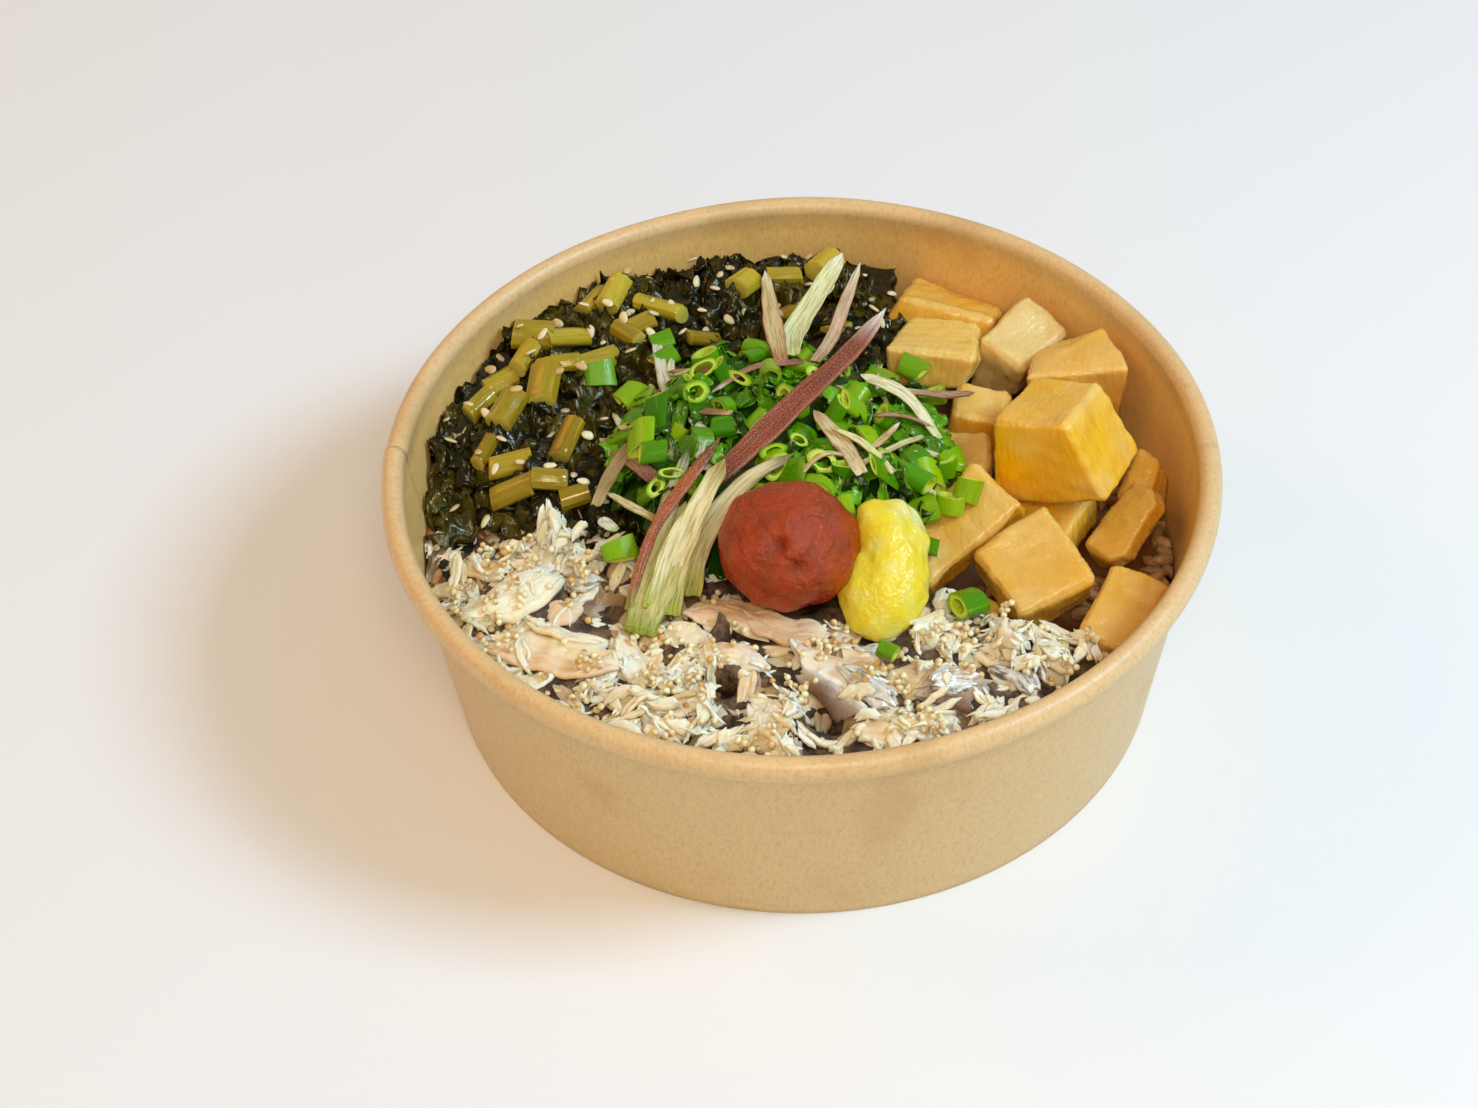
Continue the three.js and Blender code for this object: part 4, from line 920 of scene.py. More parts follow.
def make_mackerel(ground):
    random = np.random.default_rng(MACKEREL_SEED)
    # The bed under the flakes is painted dark, a painted shade in the gaps.
    make_core("mackerel_shade_bed", bed_look(), "mackerel", "mackerel", "8a6a4c", voxel=0.9, rounds=6,
              moved=lambda places, normals: (
                  places - normals * 0.2 - np.clip(normals[:, 2:], 0, 1) * [0, 0, 1.4]))
    names = ("under_flakes", "flakes", "small_flakes", "tufts", "skin", "fibres")
    gathered = {name: Shapes() for name in names}
    shreds, bits = gathered["tufts"], gathered["fibres"]
    for name, (count, apart, lengths, widths, rises, tears, pairs, step, flex) in RANDOM_FLAKES.items():
        for at in ground.scatter(random, count, apart, covered):
            size = (random.uniform(*lengths), random.uniform(*widths))
            yaw, rise = random.uniform(0, 360), random.uniform(*rises)
            pair = pairs[random.integers(len(pairs))]
            lay_flake(ground, gathered[name], random, at, size, yaw, rise, pair, random.uniform(*tears), step,
                      flex)
    spots = ground.scatter(random, SHREDS, spacing=4.5, holds=covered)
    loose = [(*at, random.uniform(0, 360), SHRED_STAND) for at in spots]
    lay_shreds(ground, shreds, bits, random, loose)
    for x, y, length, width, yaw, rise, *pair, torn in FLAKES:
        lay_flake(ground, gathered["flakes"], random, (x, y), (length, width), yaw, rise, pair, torn)
    for x, y, *size, yaw, rise in SKIN_FLAKES:
        lay_flake(ground, gathered["skin"], random, (x, y), size, yaw, rise, (SILVER, SILVER), torn=0.25)
    for x, y, reach, count, yaw, stand in TUFTS:
        places = np.array([x, y]) + random.normal(size=(count, 2)) * reach * 0.45
        near = [(*at, yaw + random.normal() * 38, stand) for at in places]
        lay_shreds(ground, shreds, bits, random, near)
    for at in ground.scatter(random, CRUMBS, spacing=3.0, holds=covered):
        places, faces = tube(crumb(random, random.uniform(0.9, 2.0)))
        out = ground.lay(places, at, (random.uniform(0, 360),), sink=0.3, touch=0.85)
        bits.add((out, faces), blend(CREAM, WHITE, random.uniform(0, 1)), places)
    for at in ground.scatter(random, LOOSE_THREADS, spacing=5.0, holds=covered):
        lay_threads(ground, bits, random, at, random.uniform(0, 360), count=2, length=random.uniform(3, 7))
    flesh = fish_look()
    for name, shapes in gathered.items():
        shapes.piece(f"mackerel_{name}", skin_look() if name == "skin" else flesh, "mackerel")
    make_millet(ground, random)


def make_millet(ground, random):
    """Small round seeds in clusters over the fish."""
    seeds = Shapes()
    along, wide = MILLET.T[..., None]
    angles = round_angles(9)
    dimple = np.where(np.arange(len(MILLET)) > 4, 0.75, 0.0)[:, None] * np.ones(len(angles))
    for at in ground.scatter(random, SEED_CLUSTERS, spacing=4.8):
        for _ in range(random.integers(1, 14)):
            near = at + random.normal(size=2) * 1.6
            if not ground.mine[spot(*near)]:
                continue
            half = random.uniform(0.55, 0.75)
            reach = half * wide
            places, faces = tube(stacked(along * half, reach * np.cos(angles), reach * np.sin(angles)))
            turn = (random.uniform(0, 360), 0, random.uniform(-80, 20))
            out = ground.lay(places, near, turn, sink=0.15, steep=0.1, touch=0.9)
            shade = random.uniform(0, 1)
            deep = MILLET_BROWN if shade < 0.93 else MILLET_RED
            body = blend(MILLET_PALE, MILLET_TAN, shade**3)
            seeds.add((out, faces), blend(body, deep, dimple.ravel() * random.uniform(0.1, 0.9)))
    seeds.piece("millet_seeds", seed_look("millet", 0.2), "mackerel")


# ---------------------------------------------------------------- pickled greens
STEM = rgb("ccb634")
STEM_DEEP = rgb("92780a")
LEAF = rgb("1a1804")
LEAF_OLIVE = rgb("564c06")
SESAME_PALE = rgb("eee2b8")
SESAME_TAN = rgb("cfa968")

# Cut stems: middle in plan, heading, length, width, and how pale.
STEMS = [
    (-55.3, 42, -5, 8.6, 6.2, 0.3), (-48.6, 43.2, 35, 9.2, 5.4, 0.7), (-39.2, 58.6, 75, 9.4, 5.6, 0.9),
    (-29.4, 56.3, -25, 10.4, 5.2, 0.7), (-62.1, 33.3, 30, 7.4, 4.8, 0.6), (-52.5, 27.3, 82, 8.8, 6.6, 0.3),
    (-59.6, 20.9, 66, 8.4, 5.6, 0.2), (-58.5, 7.6, 5, 8.6, 4.2, 0.5), (-57.7, 1.8, -2, 9, 5, 0.2),
    (-42.1, 37.4, 35, 10.6, 4.2, 0.4), (-11.3, 63.3, 60, 6, 6, 0.8), (-2.7, 65.4, 10, 7.4, 4.6, 0.5),
    (6.1, 68.4, 60, 7.6, 6.4, 0.9), (-47, 12, 60, 7.4, 5, 0.0), (-36, 47, -40, 7, 4.4, 0.1),
    (-20, 46, 25, 7, 4.2, 0.0), (8, 52, -30, 6, 4, 0.1), (-44, 58, 60, 8, 4.6, 0.3),
    (-66, 27, 50, 7, 4, 0.4), (-64, 12, 60, 6, 3.6, 0.0), (-50, 2, 5, 7, 4, 0.2), (-48, 33, 10, 6, 4, 0.3),
    (-2, 55, 50, 6, 4, 0.2), (-57, 36.5, 60, 6, 4.6, 0.6), (-45, -1.5, 20, 6, 4, 0.1),
    (-33, 50, 20, 6, 4, 0.3),
]
GREENS_SEED = 37
LEAVES = 80
LEAF_STEP = 0.64
SESAME = 84
STEM_SIDES = 26
STEM_RINGS = np.array([-1, -0.97, -0.6, -0.2, 0.2, 0.6, 0.97, 1])[:, None]
STEM_CUT = rgb("d8cc66")


def leaf(random, length, width):
    """A crumpled piece of leaf lying along X, folded and with a ragged edge."""
    u, v = patch(int(length / LEAF_STEP) + 2, int(width / LEAF_STEP) + 2)
    ragged = 1 + 0.16 * sway(random, 4 * u) + 0.1 * sway(random, 11 * u)
    full = np.sqrt(np.clip(1.08 - np.abs(u) ** 2.6, 0.06, 1)) * ragged
    flat = np.stack([u * length / 2, v * full * width / 2], -1)
    seed = random.integers(SEEDS)
    folds = ripples(flat, seed, (1.1, 6.0), (0.5, 3.2), (0.12, 1.9))
    folds += 0.4 * sway(random, flat[..., 1] * 1.5 + 0.8 * np.sin(flat[..., 0] * 0.4))
    folds += random.uniform(-0.9, 0.9) * v**2
    top = np.concatenate([flat + 0.7 * drift(flat, 5.0, seed + 3), folds[..., None]], -1)
    return top, top - [0, 0, 0.6], u, v


def stem(random, length, width, pale):
    """A cut length of stem along X: ridged over its top and sides, flatter underneath."""
    angles = round_angles(STEM_SIDES)
    ridge = 1 + 0.05 * sway(random, 9 * angles) * (np.sin(angles) > -0.2)
    y = np.cos(angles) * ridge * width / 2
    z = np.sin(angles) * ridge * width * np.where(np.sin(angles) > 0, 0.44, 0.36)
    slants = random.uniform(-0.12, 0.12, 2)
    slant = np.where(STEM_RINGS > 0, slants[1], slants[0])
    cut = np.abs(STEM_RINGS) == 1
    shrink = np.where(cut, 0.93, 1.0)
    places, faces = tube(stacked(STEM_RINGS * length / 2 + slant * y, y * shrink,
                                 z * shrink + 0.15 * np.sin(2 * STEM_RINGS)))
    base = blend(STEM_DEEP, STEM, pale)
    tint = np.repeat(np.where(cut, blend(base, STEM_CUT, 0.5), base), STEM_SIDES, axis=0)
    around_it = np.tile(angles * width / 2, len(STEM_RINGS))
    return places, faces, tint, stacked(places[:, 0], around_it, random.uniform(0, GRAIN_DEPTH))


def make_greens(ground):
    random = np.random.default_rng(GREENS_SEED)
    skin = leaf_look()
    make_core("greens_bed", skin, "greens", "greens", "12160a", voxel=1.0, rounds=5, steady=True,
              moved=lambda places, normals: (
                  places + normals * (ripple(places, 4, seed=5)[:, None] * 0.5 - 0.9)))
    leaves, stems, seeds = Shapes(), Shapes(), Shapes()
    for at in ground.scatter(random, LEAVES, spacing=4.6):
        top, bottom, u, v = leaf(random, random.uniform(11, 22), random.uniform(7, 13))
        places, faces = sheet(top, bottom)
        out = ground.lay(places, at, any_turn(random, pitch=13, roll=11), flex=0.65, sink=0.8)
        shade = np.clip(random.uniform(-0.3, 0.9) + 0.3 * ripple(np.stack([u, v], -1), 1.0, 7), 0, 1) * 0.8
        tint = blend(LEAF, LEAF_OLIVE, shade).reshape(-1, 3)
        leaves.add((out, faces), np.concatenate([tint, tint]), sheet_grain(random, u * 6, v * 4))
    for x, y, yaw, length, width, pale in STEMS:
        places, faces, tint, grain = stem(random, length, width, pale)
        turn = (yaw, random.choice([-26, -10, 4, 12, 30]), random.uniform(-14, 14))
        stems.add((ground.lay(places, (x, y), turn, sink=1.1, steep=0.3), faces), tint, grain)
    for at in ground.scatter(random, SESAME, spacing=4.0):
        rings = grain_rings(random.uniform(2.4, 2.9), random.uniform(1.4, 1.7), sides=10, steps=9)
        rings[..., 1] *= 1 + 0.22 * rings[..., 0] / 1.5
        rings[..., 2] *= 0.55
        places, faces = tube(rings)
        out = ground.lay(places, at, any_turn(random, pitch=20, roll=15), sink=0.1, steep=0.4)
        seeds.add((out, faces), blend(SESAME_PALE, SESAME_TAN, random.uniform(0, 1) ** 2))
    leaves.piece("greens_leaves", skin, "greens")
    stems.piece("greens_stems", stem_look(), "greens", sharp=45)
    seeds.piece("sesame_seeds", seed_look("sesame", 0.15), "greens")


# ---------------------------------------------------------------- simmered daikon
AMBER = rgb("e4aa1c")
AMBER_PALE = rgb("e8cc88")
AMBER_WARM = rgb("f2c860")
AMBER_SOFT = rgb("e6b040")
AMBER_DEEP = rgb("fcc004")
BLOCK_BEVEL = 0.9
SKIN_RISE = 1.6
SKIN_SHARES = (0.15, 0.85)
DAIKON_SEED = 700
SIDES = {"back": (0, 1), "right": (1, 2), "front": (2, 3), "left": (3, 0)}
# Cut blocks: the four corners of the top face, from its back left corner round, and below them
# the four of the bottom face; the side that keeps its round skin; and the colour.
DAIKON = [
    ([(25.6, 71.3, 39.4), (45.2, 64.1, 36.5), (41.9, 50.8, 43.2), (22.1, 57.5, 45.3),
      (22.6, 66, 27.6), (43.3, 60.1, 26.4), (38, 48.7, 35), (15.6, 52.6, 33.8)], "back", AMBER),
    ([(24.4, 54.9, 41.8), (38.8, 50.8, 43.3), (37.1, 34.8, 46.6), (17.2, 40.1, 46.1),
      (22.7, 53, 33.3), (40.6, 48.1, 34.1), (34, 33.5, 38.5), (19.2, 37.6, 37.1)], "back", AMBER_WARM),
    ([(38, 44.1, 44.7), (49.3, 56.6, 46.3), (57.5, 48.1, 42.6), (46.8, 36.3, 41.9),
      (36, 45.4, 29.2), (47.4, 58.5, 31.6), (56.3, 51.7, 29.9), (45.8, 40.6, 30.1)], None, AMBER_PALE),
    ([(49.6, 38.2, 46.1), (63.8, 41.5, 50.3), (68.2, 27.8, 49.1), (45.9, 27.8, 47.5),
      (49.1, 39.4, 31.6), (66.9, 40.7, 34), (67, 28.7, 34), (49.7, 27.4, 31.6)], "back", AMBER_SOFT),
    ([(33.5, 32.5, 43), (44.2, 29.9, 42.1), (41.7, 19.6, 42.1), (31, 22.3, 43),
      (32.6, 33.2, 29.5), (43.3, 30.6, 28.6), (40.6, 19.4, 28.6), (29.8, 22.1, 29.5)], None, AMBER),
    ([(47.4, 24.2, 50.7), (60, 14.4, 57.7), (51.5, -1.5, 60.3), (38.2, 8.3, 53.1),
      (51.1, 19, 34.3), (69.2, 9.9, 42.9), (60.4, -7, 44.3), (38.2, 2.5, 35.6)], None, AMBER_DEEP),
    ([(27, 19.5, 41.2), (39, 18.5, 41.6), (38, 6.9, 41.7), (26, 7.9, 41.4),
      (27.1, 20, 27), (39.8, 19, 27.4), (38.7, 6, 27.6), (26.1, 7, 27.2)], "left", AMBER),
    ([(34.3, 1.4, 48.7), (44.1, -7.5, 45.3), (24.4, -21.7, 36.3), (17.4, -11.9, 40.7),
      (35.9, 5.7, 41.1), (45.1, -3.2, 37.7), (24.8, -17.9, 28), (17.2, -8.3, 32.3)], None, AMBER),
    ([(33.1, -19.6, 44.2), (47.6, -11.4, 49.7), (56.6, -26.7, 43.7), (41.6, -33.2, 39.9),
      (34.1, -14.9, 34.5), (48.6, -7.6, 38.9), (57.2, -22.4, 33.4), (42.9, -29, 29.7)], None, AMBER),
    ([(66.7, 5.4, 40.1), (70.4, 0.4, 41.8), (60.9, -12.2, 32.7), (56.1, -5.8, 32.4),
      (69.9, 6.2, 34.1), (73.7, 1.8, 36.4), (65.3, -9.4, 29), (60.3, -6.4, 25.1)], "right", AMBER),
    ([(68.5, 12.3, 42.2), (72.5, 8.7, 41.3), (69.1, 0.3, 36.5), (63.7, 2.9, 36.1),
      (72.4, 18.2, 27.1), (77.3, 15.6, 27.4), (73.7, 7, 25.6), (68, 9.4, 25.6)], None, AMBER),
    ([(60.1, -20.8, 42.4), (71.6, -25.8, 41.4), (62.2, -43.1, 38.9), (52.3, -37.5, 40.8),
      (59.6, -18.6, 28.9), (70.4, -23.8, 27.5), (61.6, -40.8, 25.3), (51.1, -35.5, 26.9)], "right", AMBER),
    ([(46.9, 14.5, 34.6), (60.1, 7.5, 34.6), (53.1, -5.7, 34.6), (39.9, 1.3, 34.6),
      (46.6, 15.6, 26.2), (61.2, 7.8, 26.2), (53.4, -6.8, 26.2), (38.8, 1, 26.2)], None, AMBER_DEEP),
    ([(32.1, -16.7, 32.8), (39.4, -22.8, 32.8), (35.1, -28.1, 32.8), (27.8, -22, 32.8),
      (32, -16.1, 26), (40.1, -22.9, 26), (35.2, -28.7, 26), (27.1, -21.9, 26)], None, AMBER_DEEP),
]


def block_hull(corners, skin):
    """A closed mesh round the eight corners of a block, its edges cut off by a small bevel."""
    points = []
    for order, corner in enumerate(corners):
        face = order & 4
        near = [face + ((order + 1) & 3), face + ((order + 3) & 3), order ^ 4]
        ways = unit(corner - corners[near])
        points.extend(corner - BLOCK_BEVEL * (ways.sum(axis=0) - ways))
    if skin:
        first, second = SIDES[skin]
        across, down = corners[second] - corners[first], corners[first + 4] - corners[first]
        outward = SKIN_RISE * unit(np.cross(across, down))
        for share in SKIN_SHARES:
            ends = corners[[first, first + 4]] * (1 - share) + corners[[second, second + 4]] * share
            points.extend(ends[0] * (1 - depth) + ends[1] * depth + outward for depth in SKIN_SHARES)
    hull = bmesh.new()
    for point in points:
        hull.verts.new(point * MM)
    made = bmesh.ops.convex_hull(hull, input=hull.verts)
    bmesh.ops.delete(hull, geom=[v for v in made["geom_interior"] if isinstance(v, bmesh.types.BMVert)])
    mesh = bpy.data.meshes.new("block")
    hull.to_mesh(mesh)
    hull.free()
    return mesh


def make_daikon():
    look = daikon_look()
    for order, (corners, skin, colour) in enumerate(DAIKON):
        corners = np.array(corners, float)
        places, normals, faces = refined(block_hull(corners, skin), voxel=0.42, rounds=3)
        upward = unit((corners[:4] - corners[4:]).mean(axis=0))
        beside = unit(np.cross(corners[1] - corners[2], upward))
        axes = np.array([beside, np.cross(upward, beside), upward]).T
        own = (places - corners.mean(axis=0)) @ axes
        edge = smooth(0.9, 0.66, np.abs(normals @ axes).max(axis=1))
        seed = DAIKON_SEED + 5 * order
        relief = ripples(own, seed, (0.32, 12), (0.08, 3.5))
        relief += 0.05 * ripple(own * [1, 1, 0.15], 1.0, seed + 2)
        relief -= edge * 0.2 * (0.5 + 0.5 * ripple(own, 1.8, seed + 3))
        shade = np.clip(0.5 + 0.5 * ripple(own, 11, seed + 4), 0, 1)
        # Faces that look up are painted paler, a painted light on the blocks' tops.
        tint = blend(colour, AMBER_PALE, shade * 0.25 + 0.16 * smooth(0.3, 0.9, normals[:, 2]))
        out = kept_inside(places + normals * relief[:, None], room=0.2)
        block = Shapes()
        block.add((out, faces), blend(tint, AMBER_PALE, 0.5 * edge), own + [37 * order, 0, 0])
        block.piece(f"daikon_block_{order + 1:02d}", look, "daikon", f"daikon_{order + 1:02d}")


# ---------------------------------------------------------------- salted plum and yellow paste
PLUM_AT = (-2.4, -24.6, 52.0)
PLUM_RADIUS = 13.5
PLUM_FLAT = 0.85
# The plum's dents: which way they face, how deep they are and how far they reach, in radians.
PLUM_DENTS = [((-0.12, -0.66, 0.74), 1.0, 0.13), ((0.14, -0.87, 0.47), 0.8, 0.15)]
PLUM_RED = rgb("b43a00")
# The dark red painted into the plum's hollows, a painted shade.
PLUM_DEEP = rgb("701804")


def make_plum():
    way = ball(rows=150, columns=240, tip=0.004)
    x, y, z = np.moveaxis(way, -1, 0)
    turn = np.arctan2(y, x)
    folds = 0.35 * np.sin(5 * turn + 3 * z) + 0.25 * np.sin(9 * turn - 5 * z) + 0.25 * np.sin(8 * z + 2 * x)
    folds *= np.sqrt(np.clip(1 - z**2, 0, 1))
    dents = 0
    for toward, depth, reach in PLUM_DENTS:
        apart = np.arccos(np.clip(way @ unit(np.array(toward)), -1, 1))
        dents = dents + depth * np.exp(-((apart / reach) ** 2))
    warp = way * PLUM_RADIUS
    warp = warp + 0.9 * drift(warp, 7, 81)
    creases = furrows(warp, 9, 84, 6) + 0.6 * furrows(warp, 5, 85, 6)
    wrinkles = furrows(warp, 2.8, 88, 5) + 0.6 * furrows(warp, 1.7, 89, 4)
    relief = folds * 0.8 - 1.5 * dents - 0.26 * creases - 0.11 * wrinkles + 0.12 * ripple(warp, 4, 87)
    rings = way * (PLUM_RADIUS + relief)[..., None] * [1, 1, PLUM_FLAT] + PLUM_AT
    # Creases, wrinkles and dents are painted darker, a painted shade in the plum's hollows.
    deep = np.clip(0.5 * creases + 0.8 * dents + 0.25 * wrinkles, 0, 1)
    flesh = Shapes()
    flesh.add(tube(rings), blend(PLUM_RED, PLUM_DEEP, deep * 0.55).reshape(-1, 3))
    flesh.piece("plum_flesh", plum_look(), "plum", "plum")


# The paste's rings from back to front: middle, and half its width and height.
PASTE_RINGS = [
    ((16.4, -16.0, 51.6), (3.8, 2.6)), ((16.2, -18.1, 51.0), (6.4, 4.6)), ((16.3, -22.3, 49.4), (7.5, 6.2)),
    ((16.5, -27.1, 47.4), (7.8, 7.1)), ((15.5, -32.0, 45.7), (8.0, 6.9)), ((14.6, -36.5, 44.3), (6.2, 5.7)),
    ((14.3, -39.5, 43.3), (2.9, 3.1)),
]
PASTE_YELLOW = rgb("f2dc3a")
# Pale yellow-green, used both for pale blots and for a painted light.
PASTE_PALE = rgb("e6ebae")


def make_paste():
    shares = np.linspace(0, 1, 60)
    middles = curve([at for at, _ in PASTE_RINGS], shares)[:, None, :]
    halves = curve([[*half, 0] for _, half in PASTE_RINGS], shares)
    ends = np.sqrt(np.clip(1 - np.abs(2 * shares - 1) ** 9, 0.003, 1))[:, None]
    angles = round_angles(72)
    lobe = 1 + 0.07 * np.sin(3 * angles + shares[:, None] * (len(PASTE_RINGS) - 1))
    wide, tall = halves[:, :1], halves[:, 1:2]
    rings = middles + stacked(np.cos(angles) * wide * lobe * ends, np.sin(angles) * tall * 0.35 * ends,
                              np.sin(angles) * tall * lobe * ends)
    away = rings - middles
    away /= np.linalg.norm(away, axis=-1, keepdims=True) + 1e-6
    relief = ripples(rings, 91, (0.5, 10), (0.24, 4.4), (0.11, 2.0))
    rings = rings + away * relief[..., None]
    # The back right side is painted paler, a painted light where the key lamp falls. Pale blots at random are
    # laid over the whole paste.
    pale = smooth(-24, -16, rings[..., 1]) * smooth(14, 22, rings[..., 0]) + 0.25 * ripple(rings, 5, 94)
    dollop = Shapes()
    dollop.add(tube(rings), blend(PASTE_YELLOW, PASTE_PALE, np.clip(pale, 0, 1)).reshape(-1, 3))
    dollop.piece("paste_dollop", paste_look(), "paste", "paste")


# ---------------------------------------------------------------- scallions and shiso
GREEN = rgb("569c00")
GREEN_DEEP = rgb("2a7002")
GREEN_LIGHT = rgb("bedc14")
GREEN_PALE = rgb("e8ee6c")
GREEN_BRIGHT = rgb("6cb40c")
SHISO = rgb("1c4402")
HEAP_SEED = 23
RINGS_ON_HEAP = 60
SHREDS_ON_HEAP = 200
CLEAR_OF_STRIP = 3.6
# Round the cut wall of a ring: how far out and how far along, and how pale it is there.
RING_SECTION = np.array([(1, -1, 0), (1, -0.5, 0), (1, 0, 0), (1, 0.5, 0), (1, 1, 0), (0.5, 1.02, 0.7),
                         (0, 1, 1), (0, 0.3, 1), (0, -0.3, 1), (0, -1, 1), (0.5, -1.02, 0.7)])
RING_SIDES = 26
# Single rings away from the heap: middle, radius, length, turn, how pale.
LOOSE_RINGS = [
    ((29.2, -8.2, 46.4), 3.2, 3.4, (-20, 62, 0), 0.9), ((32.9, -5.6, 47.7), 2.8, 4.2, (-30, 50, 0), 0.8),
    ((24.7, -15.2, 41.8), 2.2, 4.4, (70, 5, 0), 0.1), ((23.6, 34.9, 44.4), 2.8, 5.2, (60, 10, 0), 0.4),
    ((27.4, 24.3, 45.6), 2.9, 2.4, (20, 66, 0), 0.3), ((28.3, 2.9, 46.5), 3.1, 3.6, (10, 80, 0), 0.2),
    ((-35.3, -18.6, 45.4), 3.4, 4.0, (20, 30, 0), 0.6), ((15.7, -48.2, 47.2), 1.9, 3.4, (60, 5, 0), 0.3),
    ((31.5, -33.6, 44.4), 3.0, 5.6, (130, 20, 0), 0.0), ((-41.4, 32.8, 46.0), 3.3, 5.0, (10, 40, 0), 0.2),
    ((-34.6, 26.0, 46.2), 2.8, 6.0, (-40, 5, 0), 0.7), ((-28.4, 42.9, 46.4), 2.4, 4.6, (-70, 10, 0), 0.1),
    ((-27.6, 36.4, 47.0), 2.3, 5.0, (-60, 10, 0), 0.1), ((21.4, -4.6, 50.6), 2.5, 9.0, (60, 8, 0), 0.0),
    ((26.8, 8.6, 48.0), 2.2, 4.0, (100, 15, 0), 0.1),
]


def scallion_ring(random, radius, length, pale):
    """A hollow slice of scallion along Y, a little crushed and cut askew."""
    angles = round_angles(RING_SIDES)
    wall = radius * random.uniform(0.3, 0.5)
    crush = random.uniform(0.4, 0.95)
    slant = random.uniform(-0.25, 0.25)
    bulge = 1 + 0.05 * sway(random, 2 * angles) + 0.03 * sway(random, 5 * angles)
    out, along, inner = RING_SECTION.T[..., None]
    reach = (radius - wall * (1 - out)) * bulge
    x = reach * np.cos(angles)
    rings = stacked(x, along * length / 2 + slant * x * np.sign(along), reach * np.sin(angles) * crush)
    green = blend(blend(GREEN_DEEP, GREEN, random.uniform(0.2, 1)), GREEN_LIGHT, pale * 0.6)
    inside = blend(GREEN_LIGHT, GREEN_PALE, 0.3 + 0.6 * pale)
    tint = np.repeat(blend(green, inside, inner[:, 0]), RING_SIDES, axis=0)
    grain = stacked(angles * radius, rings[..., 1], random.uniform(0, GRAIN_DEPTH))
    return hollow(rings), tint, grain.reshape(-1, 3)


def shred(random, length, width):
    """A thin curled strip of leaf along X."""
    u, v = patch(int(length / 0.75) + 3, 7)
    taper = np.clip(1.15 - np.abs(u) ** 4, 0.12, 1) * (1 + 0.15 * sway(random, 9 * u))
    x = u * length / 2
    y = v * taper * width / 2 + random.uniform(-0.12, 0.12) * length * u**2 + 0.4 * sway(random, 3 * u)
    z = 0.7 * sway(random, 2.5 * u) + random.uniform(-0.3, 0.6) * v**2 * width * 0.5
    z = z + 0.14 * np.sin(7 * v + 5 * u) - 0.3 * np.exp(-((v / 0.22) ** 2))
    torn = 1 + 0.2 * random.normal(size=(len(u), 1)) * (np.abs(v) > 0.9)
    y = y * np.clip(torn, 0.6, 1.5)
    top = np.stack([x, y, z], -1)
    return sheet(top, top - [0, 0, 0.3]), sheet_grain(random, y, x)


def make_scallions(ground):
    random = np.random.default_rng(HEAP_SEED)
    look = scallion_look()
    make_core("scallion_bed", look, "scallion", "scallion_heap", "1c3a0c", voxel=0.9, rounds=6,
              moved=lambda places, normals: places - normals * 1.4)
    rings, shreds = Shapes(), Shapes()
    strip = curve(GINGER["red"][0], np.linspace(0, 1, 60))[:, :2]
    for at in ground.scatter(random, SHREDS_ON_HEAP, spacing=3.0):
        if np.linalg.norm(strip - at, axis=1).min() < CLEAR_OF_STRIP:
            continue
        (shape, faces), grain = shred(random, random.uniform(4, 12), random.uniform(1.4, 5.0))
        out = ground.lay(shape, at, any_turn(random, pitch=30, roll=25), flex=0.4)
        shreds.add((out, faces), blend(SHISO, GREEN_BRIGHT, random.uniform(0, 1) ** 1.4), grain)
    for at in ground.scatter(random, RINGS_ON_HEAP, spacing=3.4):
        radius = random.uniform(1.8, 3.3)
        pale = random.uniform(0, 1) ** 2
        (shape, faces), tint, grain = scallion_ring(random, radius, random.uniform(2.2, 6.0), pale)
        turn = (random.uniform(0, 360), random.normal() * 28)
        rings.add((ground.lay(shape, at, turn, sink=1.1, steep=0.6), faces), tint, grain)
    for at, radius, length, turn, pale in LOOSE_RINGS:
        (shape, faces), tint, grain = scallion_ring(random, radius, length, pale)
        rings.add((turned(shape, *turn) + at, faces), tint, grain)
    rings.piece("scallion_rings", look, "scallion", sharp=50)
    shreds.piece("shiso_shreds", look, "scallion")


# ---------------------------------------------------------------- strips of ginger bud
STRIP_SEED = 900
SLIVER_SEED = 951
SLIVERS = 12
